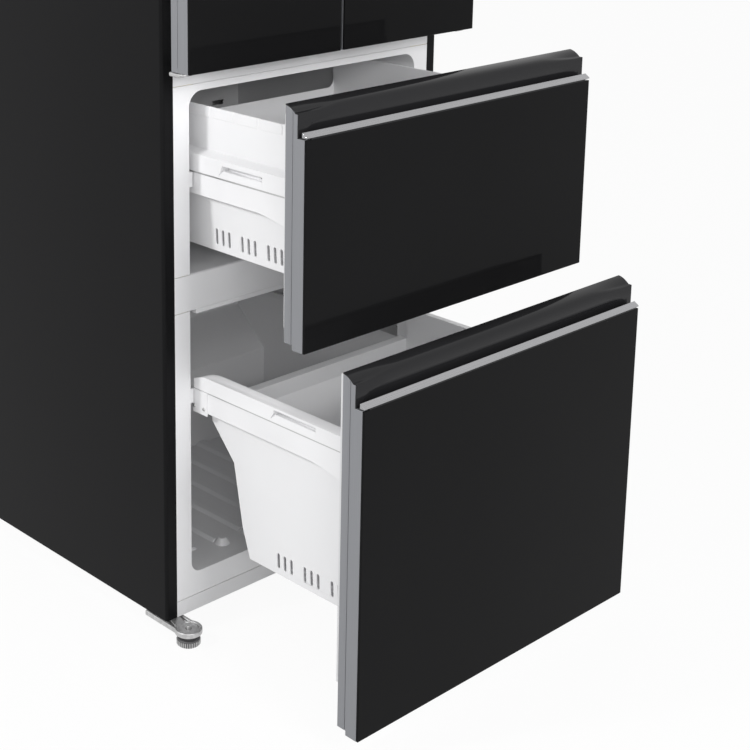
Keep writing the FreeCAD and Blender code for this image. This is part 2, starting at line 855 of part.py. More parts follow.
def cap_curve(drawer, drop):
    """Rounded top of a drawer front from its ledge to its back, lowered by a drop."""
    start = grip_setback + cap_ledge
    nose = Vector(0, drawer.front + start, drawer.top - cap_drop - drop)
    crown = Vector(0, drawer.front + (start + slab_depth) / 2, drawer.top - cap_drop * cap_crown - drop)
    back = Vector(0, drawer.front + slab_depth, drawer.top - drop)
    return Part.Arc(nose, crown, back).toShape()


def drawer_frame(drawer):
    """Silver side trims of a drawer front, stepped at the bottom and cut back for the grip."""
    curve = cap_curve(drawer, cap_thickness)
    nose, back = curve.Vertexes[0].Point, curve.Vertexes[1].Point
    face = drawer.front + grip_setback
    outline = [(nose.y, nose.z), (face, nose.z), (face, drawer.glass_top),
               (drawer.front + glass_thickness, drawer.glass_top)]
    outline += front_base(drawer) + [(back.y, back.z)]
    trim = curved_prism(curve, outline, -half_front, -half_front + trim_width)
    groove = trim_groove(drawer.front, drawer.bottom, drawer.top, -half_front)
    return pair(trim.cut([groove, grip_wing(drawer)]))


def trim_groove(front, z0, z1, x):
    """Upright groove in the outer face of a side trim at x."""
    middle = front + groove_back
    outline = [(x, middle - groove_size), (x + groove_size, middle), (x, middle + groove_size),
               (x - groove_size, middle)]
    return plan_prism(outline, z0, z1)


def drawer_grip(drawer):
    """Black grip: rounded cap with a ledge, upright face, finger channel and the rail under the strip."""
    front, top, glass = drawer.front, drawer.top, drawer.glass_top
    half = half_front - trim_width
    channel_floor = glass - channel_depth
    curve = cap_curve(drawer, 0)
    forward = [(front + grip_setback + cap_ledge, top - cap_drop), (front + grip_setback, top - cap_drop),
               (front + grip_setback, glass + grip_face_bottom), (front + channel_back, glass + channel_roof),
               (front + channel_back, channel_floor), (front + glass_thickness + grip_wall, channel_floor),
               (front + glass_thickness + grip_wall, glass + strip_rise),
               (front + glass_inset, glass + strip_rise), (front + glass_inset, glass),
               (front + glass_thickness, glass)]
    outline = forward + grip_back(drawer) + [(front + slab_depth, top)]
    body = curved_prism(curve, outline, -half, half)
    end = cap_end(drawer)
    return fuse(body, end, mirrored(end))


def grip_wing(drawer):
    """Part of the grip in front of the left side trim, above the glass."""
    y0 = drawer.front + grip_setback
    return box(-half_front, -half_front + trim_width, y0, y0 + cap_thickness, drawer.glass_top,
               drawer.top - cap_drop)


def cap_end(drawer):
    """End of the cap that covers the top and the upper front of the left side trim."""
    over, under = cap_curve(drawer, 0), cap_curve(drawer, cap_thickness)
    sides = [Part.makeLine(over.Vertexes[end].Point, under.Vertexes[end].Point) for end in (0, 1)]
    face = Part.Face(Part.Wire(Part.__sortEdges__([over, under] + sides)))
    face.translate(ALONG_X * -half_front)
    y0, z1 = drawer.front + grip_setback, drawer.top - cap_drop
    ledge = box(-half_front, -half_front + trim_width, y0, y0 + cap_ledge, z1 - cap_thickness, z1)
    return fuse(face.extrude(ALONG_X * trim_width), ledge, grip_wing(drawer))


def drawer_strip(drawer):
    """Aluminium strip above the glass, sloping down to a thin front edge."""
    y0, z0 = drawer.front, drawer.glass_top + strip_rise
    y1 = y0 + strip_depth
    outline = [(y0, z0), (y0, z0 + strip_edge), (y1, z0 + strip_height), (y1, z0)]
    return side_prism(outline, -half_front, half_front)


def seal_ring(x0, x1, z0, z1, shift):
    """Gasket frame on the back of a front."""
    y0 = seal_face + shift
    outer = box(x0, x1, y0, y0 + seal_depth, z0, z1)
    inner = box(x0 + seal_width, x1 - seal_width, y0, y0 + seal_depth, z0 + seal_width, z1 - seal_width)
    return outer.cut(inner)


def drawer_gasket(drawer):
    """White gasket round the inside of a drawer front."""
    return seal_ring(-half_frame, half_frame, drawer.floor - seal_reach, drawer.ceiling + seal_reach,
                     -drawer.opened)


def vents(drawer):
    """Upright slots near the bottom of both basket sides."""
    cuts = []
    for group in range(vent_groups):
        for index in range(vents_in_group):
            y = drawer.plug_face + drawer.vent_start + group * vent_group_pitch + index * vent_pitch
            z = drawer.basket_floor + vent_floor_gap
            slot = box(-half_opening, half_opening, y - vent_width / 2, y + vent_width / 2,
                       z, z + vent_height)
            cuts.append(round_edges(slot, vent_width * vent_rounding, ALONG_X, everywhere))
    return cuts


def holds(drawer):
    """Finger holds in the outer faces of both bars, deep at the top and running out at the bottom."""
    y0 = drawer.plug_face + hold_start
    y1 = y0 + hold_length
    z0, z1 = drawer.rail_top + hold_lip, drawer.rail_top + hold_height
    section = [(-bar_outer, z0), (-bar_outer + hold_depth, z1), (-half_opening, z1), (-half_opening, z0)]
    wedge = front_prism(section, y0, y1)
    ends = side_prism([(y0, z0), (y0, z1), (y1 - hold_slant, z1), (y1, z0)], -half_opening, -basket_half)
    hold = wedge.common(ends)
    return [hold, mirrored(hold)]


def rim_notches(wall_half, rim):
    """Shallow notches along the upper basket's rim bands."""
    cuts = []
    count = int(upper_basket_length / rim_notch_pitch)
    for index in range(count):
        y = upper_drawer.plug_face + rim_notch_start + index * rim_notch_pitch
        notch = box(-bar_outer, -wall_half, y - rim_notch_width / 2, y + rim_notch_width / 2,
                    rim - rim_band, rim)
        cuts += [notch, mirrored(notch)]
    return cuts


def upper_basket():
    """White basket of the upper drawer with raised sides and a low back with rounded corners."""
    drawer = upper_drawer
    y0, y1 = drawer.plug_face, drawer.plug_face + upper_basket_length
    seat, floor, bar_top = drawer.rail_top, drawer.basket_floor, drawer.bar_top
    rim = bar_top + upper_rim_rise
    wall_half = bar_outer - upper_bar_proud
    section = [(-basket_half + upper_taper, floor), (-basket_half, seat), (-bar_outer, seat),
               (-bar_outer, bar_top - upper_bar_slope), (-wall_half, bar_top), (-wall_half, rim - rim_band),
               (-wall_half - rim_proud, rim - rim_band), (-wall_half - rim_proud, rim)]
    hollow = [(-basket_half + upper_taper + basket_wall, floor + basket_wall),
              (-basket_half + basket_wall, seat), (-wall_half + basket_wall, bar_top),
              (-wall_half + basket_wall, rim + basket_wall)]
    outer = front_prism(section + [(-x, z) for x, z in section[::-1]], y0, y1)
    inner = front_prism(hollow + [(-x, z) for x, z in hollow[::-1]], y0 + basket_wall, y1 - basket_wall)
    inside = wall_half - basket_wall
    low_back = box(-inside, inside, y1 - 2 * basket_wall, y1 + basket_wall,
                   bar_top + rear_wall_rise, rim + basket_wall)
    low_back = round_edges(low_back, rear_corner, ALONG_Y, lambda middle: middle.z < rim)
    return outer.cut([inner, low_back] + holds(drawer) + vents(drawer) + rim_notches(wall_half, rim))


def lower_basket_profile(inset):
    """Side outline of the lower tub, drawn in by a wall."""
    drawer = lower_drawer
    floor = drawer.basket_floor + inset
    y0 = drawer.plug_face + inset
    back = drawer.plug_face + lower_basket_top_length - inset
    top = drawer.bar_top + inset
    rail = drawer.rail_bottom
    return [(y0, floor), (back - floor_run, floor), (back - heel_run, rail - heel_drop),
            (back - kink_run, rail - kink_drop), (back, rail - shoulder_drop), (back, top), (y0, top)]


def lower_basket():
    """Deep white basket of the lower drawer with bars along its rails and a low back with a flange."""
    drawer = lower_drawer
    seat, floor, bar_top = drawer.rail_top, drawer.basket_floor, drawer.bar_top
    y0, bar_end = drawer.plug_face, drawer.plug_face + drawer.rail_length
    back, rim = y0 + lower_basket_top_length, drawer.rail_bottom + rear_rim_rise
    section = [(-basket_half + lower_taper, floor), (-basket_half, seat), (-basket_half, bar_top)]
    hollow = [(-basket_half + lower_taper + basket_wall, floor), (-basket_half + basket_wall, seat),
              (-basket_half + basket_wall, bar_top + basket_wall)]
    around = front_prism(section + [(-x, z) for x, z in section[::-1]], y0, bar_end)
    within = front_prism(hollow + [(-x, z) for x, z in hollow[::-1]], y0, bar_end)
    tub = side_prism(lower_basket_profile(0), -bar_outer, bar_outer).common(around)
    space = side_prism(lower_basket_profile(basket_wall), -bar_outer, bar_outer).common(within)
    crest = -bar_outer + lower_bar_proud
    outline = [(-bar_outer, seat), (-bar_outer, bar_top - lower_bar_slope), (crest, bar_top),
               (-basket_half, bar_top), (-basket_half, seat)]
    bar = front_prism(outline, y0, bar_end)
    flange = box(-basket_half, basket_half, back - basket_wall, back + rear_rim_width, rim - basket_wall, rim)
    inside = basket_half - basket_wall
    low_back = box(-inside, inside, back - 2 * basket_wall, back + basket_wall, rim, bar_top + basket_wall)
    solid = fuse(tub, bar, mirrored(bar), flange)
    return solid.cut([space, low_back, rounded_bar_end(bar_end, bar_top)] + holds(drawer) + vents(drawer))


def rounded_bar_end(bar_end, bar_top):
    """Space above the lower basket's bars where their tops curve down to the back."""
    start = bar_end - bar_end_run
    bend = Vector(0, bar_end - bar_end_run / 2, bar_top - bar_end_drop / 4)
    curve = Part.Arc(Vector(0, start, bar_top), bend, Vector(0, bar_end, bar_top - bar_end_drop)).toShape()
    above = [(bar_end, bar_top - bar_end_drop), (bar_end, bar_top), (start, bar_top)]
    return curved_prism(curve, above, -bar_outer, bar_outer)


def door_x():
    """Left and right edge of the left door."""
    return -half_front, -half_seam


def door_core():
    """Foam-filled core of the left door with its inner liner, hinge bores and flap ears."""
    x0, x1 = door_x()
    slab = box(x0 + trim_width, x1 - trim_width, front_plane + glass_thickness, front_plane + slab_depth,
               door_bottom, door_top)
    inner = box(-half_frame - panel_margin, x1 - panel_margin, front_plane + slab_depth, seal_face,
                fridge_floor - seal_reach - panel_margin, fridge_ceiling + seal_reach + panel_margin)
    plug = box(-half_plug, -door_plug_free_gap, seal_face, door_plug_reach,
               fridge_floor + plug_end_gap, fridge_ceiling - plug_end_gap)
    ear_x0, ear_x1 = -flap_pivot_x - 2 * flap_pin_radius, -flap_pivot_x + 2 * flap_pin_radius
    ears = []
    for z in (fridge_floor + flap_end_gap - ear_height, fridge_ceiling - flap_end_gap):
        ears.append(box(ear_x0, ear_x1, seal_face, flap_pivot_y + 2 * flap_pin_radius, z, z + ear_height))
    core = fuse(slab, inner, plug)
    groove = box(x0 + finger_groove_margin * 2, x1 - finger_groove_margin, front_plane + finger_groove_front,
                 front_plane + finger_groove_back, door_bottom, door_bottom + finger_groove_depth)
    return core.cut(hinge_bores() + [groove]), ears


def hinge_bores():
    """Bores for the hinge pins at the bottom and top of the left door."""
    return [rod(pin_radius + pin_fit, pin_length, -hinge_x, hinge_y, z, ALONG_Z)
            for z in (door_bottom, door_top - pin_length)]


def left_door_core():
    """Left door core, with ears for the flap's pins."""
    core, ears = door_core()
    height = fridge_ceiling - fridge_floor
    bore = rod(flap_pin_radius + pin_fit, height, -flap_pivot_x, flap_pivot_y, fridge_floor, ALONG_Z)
    return fuse(core, *ears).cut(bore)


def right_door_core():
    """Right door core, the mirror image without the ears."""
    return mirrored(door_core()[0])


def door_glass():
    """Black glass of the left door."""
    x0, x1 = door_x()
    return box(x0 + glass_inset, x1 - glass_inset, front_plane, front_plane + glass_thickness,
               door_bottom, door_top)


def door_frame():
    """Silver trims along both sides of the left door."""
    x0, x1 = door_x()
    y0, y1 = front_plane + glass_thickness, front_plane + slab_depth
    outer = box(x0, x0 + trim_width, y0, y1, door_bottom, door_top)
    outer = outer.cut(hinge_bores() + [trim_groove(front_plane, door_bottom, door_top, x0)])
    return Part.makeCompound([outer, box(x1 - trim_width, x1, y0, y1, door_bottom, door_top)])


def door_gasket():
    """Gasket of the left door."""
    return seal_ring(-half_frame, -half_seam * 2, fridge_floor - seal_reach, fridge_ceiling + seal_reach, 0)


def door_bins():
    """Open bins on the inside of the left door."""
    bins = []
    x0, x1 = -half_plug + bin_side_gap, -door_plug_free_gap - bin_side_gap
    y0, y1 = door_plug_reach, door_plug_reach + bin_depth
    for rise in bin_rises:
        z = fridge_floor + rise
        space = box(x0 + bin_wall, x1 - bin_wall, y0 + bin_wall, y1 - bin_wall,
                    z + bin_wall, z + bin_height + bin_wall)
        bins.append(box(x0, x1, y0, y1, z, z + bin_height).cut(space))
    return Part.makeCompound(bins)


def mullion_flap():
    """Upright flap on the left door's free edge, folded back, on two pins."""
    z0, z1 = fridge_floor + flap_end_gap, fridge_ceiling - flap_end_gap
    side = flap_pivot_y - flap_front_gap
    bar = box(-flap_pivot_x - flap_thickness + side, -flap_pivot_x + side, flap_pivot_y + flap_root,
              flap_pivot_y + flap_root + flap_width, z0, z1)
    knuckle = box(-flap_pivot_x - 2 * flap_pin_radius, -flap_pivot_x + 2 * flap_pin_radius,
                  flap_pivot_y - flap_pin_radius, flap_pivot_y + flap_root, z0, z1)
    knuckle = round_edges(knuckle, flap_pin_radius, ALONG_Z, lambda middle: middle.y < flap_pivot_y)
    pin = rod(flap_pin_radius, z1 - z0 + 2 * flap_pin_length, -flap_pivot_x, flap_pivot_y,
              z0 - flap_pin_length, ALONG_Z)
    return fuse(bar, knuckle, pin)


def fan(radius):
    """Fan turning about the Y axis at the origin, with a bore for its pin."""
    wheel = rod(fan_hub_radius, fan_depth, 0, 0, 0, ALONG_Y)
    blades = []
    for index in range(fan_blades):
        blade = box(-fan_depth * 0.7, fan_depth * 0.7, -blade_thickness / 2, blade_thickness / 2,
                    fan_hub_radius * 0.8, radius)
        blade.rotate(Vector(0, 0, 0), ALONG_Z, blade_tilt)
        blade.translate(ALONG_Y * (fan_depth / 2))
        blade.rotate(Vector(0, 0, 0), ALONG_Y, index * 360.0 / fan_blades)
        blades.append(blade)
    return fuse(wheel, *blades).cut(rod(fan_pin_radius + pin_fit, fan_depth, 0, 0, 0, ALONG_Y))


def fan_spider(plate, thickness):
    """Round fan opening in a plate on the XZ plane, with a hub, three spokes and a pin along Y."""
    ring = rod(fan_radius + fan_gap, thickness, 0, 0, 0, ALONG_Y)
    hub = rod(fan_hub_radius, thickness, 0, 0, 0, ALONG_Y)
    spokes = []
    for index in range(3):
        spoke = box(-cover_spoke / 2, cover_spoke / 2, 0, thickness, 0, fan_radius + 2 * fan_gap)
        spoke.rotate(Vector(0, 0, 0), ALONG_Y, index * 120.0)
        spokes.append(spoke)
    pin = rod(fan_pin_radius, thickness + fan_gap + fan_depth, 0, 0, 0, ALONG_Y)
    return fuse(plate.cut(ring), hub, pin, *spokes)


def evaporator_cover():
    """Rear wall of the upper compartment with vents and the fan opening."""
    fan_z = upper_floor + cover_fan_rise
    y0, y1 = compartment_depth, compartment_depth + cover_plate
    plate = upper_cavity(-cover_fit, y0, y1)
    foot = box(-half_plug, half_plug, y0, y1, upper_floor, upper_floor + cover_plate)
    vent_z = upper_floor + cover_vent_rise
    x1 = half_opening - cover_vent_from_wall
    vent = box(x1 - cover_vent_width, x1, y0, y1, vent_z, vent_z + cover_vent_height)
    middle = box(-cover_vent_width * 2, cover_vent_width * 2, y0, y1, vent_z, vent_z + cover_vent_height)
    plate = fuse(plate, foot).cut([vent, mirrored(vent), middle])
    place = Vector(0, compartment_depth, fan_z)
    plate.translate(place * -1)
    cover = fan_spider(plate, cover_plate)
    cover.translate(place)
    return cover


def evaporator_fan():
    """Fan behind the evaporator cover."""
    wheel = fan(fan_radius)
    wheel.translate(Vector(0, compartment_depth + cover_plate + fan_gap, upper_floor + cover_fan_rise))
    return wheel


def finned_coil(x0, x1, y0, y1, z0, z1, fins, tubes, tube_direction):
    """Row of fins on parallel tubes."""
    pieces = []
    if tube_direction == ALONG_X:
        pitch = (x1 - x0 - fin_thickness) / (fins - 1)
        for index in range(fins):
            x = x0 + index * pitch
            pieces.append(box(x, x + fin_thickness, y0, y1, z0, z1))
        for index in range(tubes):
            z = z0 + (index + 0.5) * (z1 - z0) / tubes
            pieces.append(rod(tube_radius, x1 - x0, x0, (y0 + y1) / 2, z, ALONG_X))
    else:
        pitch = (y1 - y0 - fin_thickness) / (fins - 1)
        for index in range(fins):
            y = y0 + index * pitch
            pieces.append(box(x0, x1, y, y + fin_thickness, z0, z1))
        for index in range(tubes):
            x = x0 + (index + 0.5) * (x1 - x0) / tubes
            pieces.append(rod(tube_radius, y1 - y0, x, y0, (z0 + z1) / 2, ALONG_Y))
    return fuse(*pieces)


def evaporator():
    """Finned coil between the evaporator cover and the liner's back."""
    z0 = upper_floor + coil_rise
    y0 = compartment_depth + cover_plate + fan_gap
    coil = finned_coil(-coil_half_width, coil_half_width, y0, upper_rear, z0, z0 + coil_height,
                       coil_fins, coil_tubes, ALONG_X)
    return coil


def compressor():
    """Sealed compressor on a plate with rubber feet."""
    plate_bottom = pan_top + compressor_feet
    body_bottom = plate_bottom + compressor_plate
    body = rod(compressor_radius, compressor_height, compressor_x, machine_middle, body_bottom, ALONG_Z)
    body = body.makeFillet(compressor_round, [e for e in body.Edges if e.Length > 6 * compressor_radius])
    reach = compressor_radius + compressor_margin
    plate = box(compressor_x - reach, compressor_x + reach, machine_middle - compressor_radius,
                machine_middle + compressor_radius, plate_bottom, body_bottom + compressor_round)
    pad = box(compressor_x - reach, compressor_x + reach, machine_middle - compressor_radius,
              machine_middle + compressor_radius, plate_bottom, body_bottom)
    socket = rod(compressor_radius - compressor_margin, compressor_round, compressor_x, machine_middle,
                 body_bottom, ALONG_Z)
    feet = []
    foot_reach = reach - compressor_foot_radius
    foot_span = compressor_radius - compressor_foot_radius
    for x in (-foot_reach, foot_reach):
        for y in (-foot_span, foot_span):
            feet.append(rod(compressor_foot_radius, compressor_feet, compressor_x + x, machine_middle + y,
                            pan_top, ALONG_Z))
    return fuse(body, pad, plate.common(socket), *feet)


def drip_tray():
    """Shallow tray on the compressor."""
    z0 = pan_top + compressor_feet + compressor_plate + compressor_height
    y0, y1 = machine_front + tray_margin, rear_inside - tray_margin
    x0, x1 = compressor_x - tray_half_length, compressor_x + tray_half_length
    space = box(x0 + tray_wall, x1 - tray_wall, y0 + tray_wall, y1 - tray_wall,
                z0 + tray_wall, z0 + tray_height)
    return box(x0, x1, y0, y1, z0, z0 + tray_height).cut(space)


def shroud_place():
    """Centre of the condenser fan on the shroud."""
    return Vector(condenser_left, machine_middle, (condenser_bottom + condenser_top) / 2)


def turned_to_x(shape, place):
    """Shape made along Y, turned to point along -X and moved to its place."""
    shape.rotate(Vector(0, 0, 0), ALONG_Z, 90)
    shape.translate(place)
    return shape


def condenser():
    """Finned condenser with the fan's shroud, standing on the base pan."""
    y0, y1 = machine_front + condenser_margin, rear_inside - condenser_margin
    coil = finned_coil(condenser_left, condenser_right, y0, y1, condenser_bottom, condenser_top,
                       condenser_fins, coil_tubes, ALONG_Y)
    half_depth = (y1 - y0) / 2
    middle_z = (condenser_bottom + condenser_top) / 2
    plate = box(-half_depth, half_depth, 0, shroud_thickness, pan_top - middle_z, condenser_top - middle_z)
    shroud = turned_to_x(fan_spider(plate, shroud_thickness), shroud_place())
    legs = box(condenser_right - shroud_thickness, condenser_right, y0, y1, pan_top, condenser_top)
    return fuse(coil, shroud, legs)


def condenser_fan():
    """Fan that draws air through the condenser."""
    wheel = fan(fan_radius)
    wheel.translate(ALONG_Y * (shroud_thickness + fan_gap))
    return turned_to_x(wheel, shroud_place())


def control_box():
    """Control box on the base pan with the mains inlet gland in the machine cover."""
    y0, y1 = machine_front + control_margin, rear_inside - control_margin
    case = box(control_left, control_right, y0, y1, pan_top, pan_top + control_height)
    gland = rod(gland_radius, cabinet_depth - y1, (control_left + control_right) / 2, y1,
                pan_top + gland_rise, ALONG_Y)
    return fuse(case, gland)


def machine_cover():
    """Louvred sheet over the back of the machine space."""
    plate = box(-half_inside, half_inside, rear_inside, cabinet_depth, pan_top, machine_top)
    cuts = [rod(gland_radius + gland_fit, sheet, (control_left + control_right) / 2, rear_inside,
                pan_top + gland_rise, ALONG_Y)]
    for start in (compressor_x - tray_half_length, condenser_left):
        for index in range(louvre_count):
            x = start + index * louvre_pitch
            z = pan_top + louvre_rise
            cuts.append(box(x, x + louvre_width, rear_inside, cabinet_depth, z, z + louvre_height))
    return plate.cut(cuts)


nodes = {
    "side_panels": side_panels(),
    "top_panel": top_panel(),
    "rear_panel": rear_panel(),
    "base_pan": base_pan(),
    "insulation_foam": insulation_foam(),
    "fridge_liner": fridge_liner(),
    "upper_freezer_liner": upper_freezer_liner(),
    "lower_freezer_liner": lower_freezer_liner(),
    "divider_beam": divider_beam(),
    "middle_beam": middle_beam(),
    "top_hinges": top_hinges(),
    "middle_hinges": middle_hinges(),
    "hinge_covers": hinge_covers(),
    "foot_brackets": foot_brackets(),
    "compressor": compressor(),
    "condenser": condenser(),
    "drip_tray": drip_tray(),
    "machine_cover": machine_cover(),
    "control_box": control_box(),
    "evaporator": evaporator(),
    "evaporator_cover": evaporator_cover(),
    "fridge_shelves": fridge_shelves(),
    "air_duct": air_duct(),
    "cabinet_rails": cabinet_rails(),
    "levelling_foot_left": levelling_foot(),
    "levelling_foot_right": mirrored(levelling_foot()),
    "rear_rollers": rear_rollers(),
    "condenser_fan": condenser_fan(),
    "evaporator_fan": evaporator_fan(),
    "left_crisper": crisper(),
    "right_crisper": mirrored(crisper()),
    "left_door_core": left_door_core(),
    "right_door_core": right_door_core(),
    "mullion_flap": mullion_flap(),
    "upper_basket": upper_basket(),
    "lower_basket": lower_basket(),
}
door_pieces = (("glass", door_glass), ("frame", door_frame), ("gasket", door_gasket), ("bins", door_bins))
for part_name, make in door_pieces:
    nodes["left_door_" + part_name] = make()
    nodes["right_door_" + part_name] = mirrored(make())
for place, drawer in (("upper", upper_drawer), ("lower", lower_drawer)):
    nodes[place + "_middle_rails"] = middle_rails(drawer)
    nodes[place + "_drawer_rails"] = drawer_rails(drawer)
    nodes[place + "_drawer_core"] = drawer_core(drawer)
    nodes[place + "_drawer_glass"] = drawer_glass(drawer)
    nodes[place + "_drawer_frame"] = drawer_frame(drawer)
    nodes[place + "_drawer_grip"] = drawer_grip(drawer)
    nodes[place + "_drawer_strip"] = drawer_strip(drawer)
    nodes[place + "_drawer_gasket"] = drawer_gasket(drawer)

os.makedirs("parts", exist_ok=True)
for node, shape in nodes.items():
    placed = shape.copy()
    placed.translate(row_shift)
    placed.exportStep("parts/" + node + ".step")
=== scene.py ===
import json
import math

import bmesh
import bpy
from bpy.props import FloatProperty, FloatVectorProperty, IntProperty, PointerProperty
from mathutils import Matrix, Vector


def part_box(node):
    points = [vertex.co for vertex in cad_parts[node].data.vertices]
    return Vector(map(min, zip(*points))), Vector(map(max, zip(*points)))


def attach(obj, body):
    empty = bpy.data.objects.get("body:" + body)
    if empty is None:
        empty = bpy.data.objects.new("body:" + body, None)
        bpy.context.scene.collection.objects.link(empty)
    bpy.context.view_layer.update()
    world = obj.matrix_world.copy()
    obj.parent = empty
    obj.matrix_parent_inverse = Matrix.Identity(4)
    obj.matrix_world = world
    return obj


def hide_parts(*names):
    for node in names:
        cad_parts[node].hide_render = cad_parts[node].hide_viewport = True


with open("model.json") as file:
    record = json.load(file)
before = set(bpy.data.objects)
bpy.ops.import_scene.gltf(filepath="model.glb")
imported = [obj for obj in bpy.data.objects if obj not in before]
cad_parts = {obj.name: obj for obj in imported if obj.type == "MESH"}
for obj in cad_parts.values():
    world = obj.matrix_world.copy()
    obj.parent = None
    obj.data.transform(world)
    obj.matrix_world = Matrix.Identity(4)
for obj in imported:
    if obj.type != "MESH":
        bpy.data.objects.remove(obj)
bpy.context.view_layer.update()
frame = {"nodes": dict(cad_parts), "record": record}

bl_info = {
    "name": "Fridge freezer with open drawers",
    "version": (1, 0, 0),
    "blender": (4, 5, 0),
    "location": "View3D > Sidebar > Fridge",
    "description": "Gives the packed fridge freezer its finishes, rounded edges, seals and fasteners",
    "category": "Object",
}

NODES = frame["nodes"]
SLOT_OF = {entry["node"]: entry["material_slot"] for entry in frame["record"]["subparts"]}
BODY_OF = {node: body for body, names in frame["record"]["behaviour"]["bodies"].items() for node in names}
DOORS = ("left_door", "right_door")
DRAWERS = ("upper_drawer", "lower_drawer")
BASKETS = {"upper_drawer": "upper_basket", "lower_drawer": "lower_basket"}
MM = 0.001


def length(label, description, default):
    """Size property in metres."""
    return FloatProperty(name=label, description=description, default=default, unit="LENGTH", precision=5)


def colour(label, description, default):
    """Colour property."""
    return FloatVectorProperty(name=label, description=description, default=default, size=3, min=0, max=1,
                               subtype="COLOR")


class FridgeSizes(bpy.types.PropertyGroup):
    """Small sizes that the finishing pieces are made to."""
    glass_edge: length("Glass edge", "Ground edge of the glass fronts", 0.8 * MM)
    trim_edge: length("Trim edge", "Rounding of the side trims", 0.5 * MM)
    strip_edge: length("Strip edge", "Rounding of the aluminium strips", 0.4 * MM)
    cap_run: length("Cap run", "Length over which a grip's cap rises from its end", 100.0 * MM)
    mouth_run: length("Mouth run", "Length of the rounded ends of a grip's finger opening", 50.0 * MM)
    bead_radius: length("Bead radius", "Radius of the bead along a side trim", 0.9 * MM)
    bead_back: length("Bead place", "Distance of a bead behind the front of the glass", 30.0 * MM)
    plastic_edge: length("Plastic edge", "Rounding of baskets, bins and rails", 0.7 * MM)
    panel_edge: length("Panel edge", "Rounding of the inner panels and beams", 1.8 * MM)
    metal_edge: length("Metal edge", "Rounding of the hinges", 1.2 * MM)
    bracket_edge: length("Bracket edge", "Rounding of the foot brackets", 1.8 * MM)
    cover_edge: length("Cover edge", "Rounding of the hinge covers", 3.0 * MM)
    screw_radius: length("Screw radius", "Radius of a screw head", 3.6 * MM)
    screw_height: length("Screw height", "Height of a screw head", 1.6 * MM)
    foot_rib: length("Foot rib", "Width of a rib on a levelling foot", 2.2 * MM)
    foot_ribs: IntProperty(name="Foot ribs", description="Ribs round a levelling foot", default=32, min=3)


class FridgeColours(bpy.types.PropertyGroup):
    """Colours of the finishes."""
    cabinet: colour("Cabinet", "Satin black paint", (0.007, 0.007, 0.0075))
    glass: colour("Glass", "Black back-painted glass", (0.0075, 0.0075, 0.0079))
    trim: colour("Trim", "Silver side trims", (0.245, 0.25, 0.265))
    strip: colour("Strip", "Aluminium strips", (0.38, 0.38, 0.39))
    grip: colour("Grip", "Black grips", (0.016, 0.016, 0.0172))
    white: colour("White", "White plastic of liners and baskets", (0.82, 0.82, 0.83))
    grey: colour("Grey", "Pale grey beams and base strip", (0.79, 0.79, 0.80))
    seal: colour("Seal", "White door seals", (0.72, 0.72, 0.73))
    zinc: colour("Zinc", "Zinc-plated steel", (0.52, 0.52, 0.52))
    dark: colour("Dark plastic", "Covers and fans", (0.035, 0.035, 0.037))
    # Foot: dark grey plastic, darkened further as painted shade for the gaps between the ribs of the
    # levelling feet.
    foot: colour("Foot", "Grey plastic of the levelling feet", (0.10, 0.10, 0.104))
    foam: colour("Foam", "Insulation foam", (0.78, 0.70, 0.46))
    clear: colour("Clear plastic", "Crispers and bins", (0.78, 0.84, 0.88))


class Field:
    """A shader value that Python's operators combine."""

    def __init__(self, finish, socket):
        self.finish = finish
        self.socket = socket

    def combine(self, operation, first, second):
        """Math node on two values."""
        return self.finish.node("ShaderNodeMath", {"operation": operation}, {0: first, 1: second})

    def __add__(self, other):
        return self.combine("ADD", self, other)

    def __mul__(self, other):
        return self.combine("MULTIPLY", self, other)

    def __sub__(self, other):
        return self.combine("SUBTRACT", self, other)

    def __rsub__(self, other):
        return self.combine("SUBTRACT", other, self)

    __radd__ = __add__
    __rmul__ = __mul__


# Sockets of a Mix node for colours, which shares its names with the sockets for values and vectors.
MIX_FACTOR, MIX_FIRST, MIX_SECOND, MIX_RESULT = 0, 6, 7, 2


class Finish:
    """A material under construction round one Principled shader."""

    def __init__(self, name):
        self.material = bpy.data.materials.new(name)
        self.material.use_nodes = True
        self.tree = self.material.node_tree
        self.tree.nodes.clear()
        output = self.tree.nodes.new("ShaderNodeOutputMaterial")
        self.shader = self.tree.nodes.new("ShaderNodeBsdfPrincipled")
        self.tree.links.new(self.shader.outputs[0], output.inputs[0])
        self.place = self.node("ShaderNodeTexCoord", {}, {}, "Object")

    def node(self, kind, settings, inputs, output=0):
        """New node with its settings and inputs, as the field of one output."""
        made = self.tree.nodes.new(kind)
        for setting, value in settings.items():
            setattr(made, setting, value)
        self.feed(made, inputs)
        return Field(self, made.outputs[output])

    def feed(self, made, inputs):
        """Set or link the inputs of a node."""
        for key, value in inputs.items():
            if isinstance(value, Field):
                self.tree.links.new(value.socket, made.inputs[key])
            else:
                made.inputs[key].default_value = value

    def noise(self, scale, detail=3.0, stretch=(1, 1, 1)):
        """Cloudy pattern from 0 to 1, with its axes stretched."""
        place = self.node("ShaderNodeMapping", {}, {"Vector": self.place, "Scale": stretch})
        return self.node("ShaderNodeTexNoise", {}, {"Vector": place, "Scale": scale, "Detail": detail})

    def cells(self, scale):
        """Flat random value for each cell."""
        return self.node("ShaderNodeTexVoronoi", {}, {"Vector": self.place, "Scale": scale}, "Color")

    def tint(self, factor, base, spread):
        """Base colour made darker and lighter by a factor."""
        low = [channel * (1 - spread) for channel in base] + [1]
        high = [min(1, channel * (1 + spread)) for channel in base] + [1]
        return self.node("ShaderNodeMix", {"data_type": "RGBA"},
                         {MIX_FACTOR: factor, MIX_FIRST: low, MIX_SECOND: high}, MIX_RESULT)

    def bump(self, height, strength, distance):
        """Surface relief from a height field."""
        return self.node("ShaderNodeBump", {}, {"Height": height, "Strength": strength, "Distance": distance})

    def done(self, inputs):
        """Feed the shader and give the material."""
        self.feed(self.shader, inputs)
        return self.material


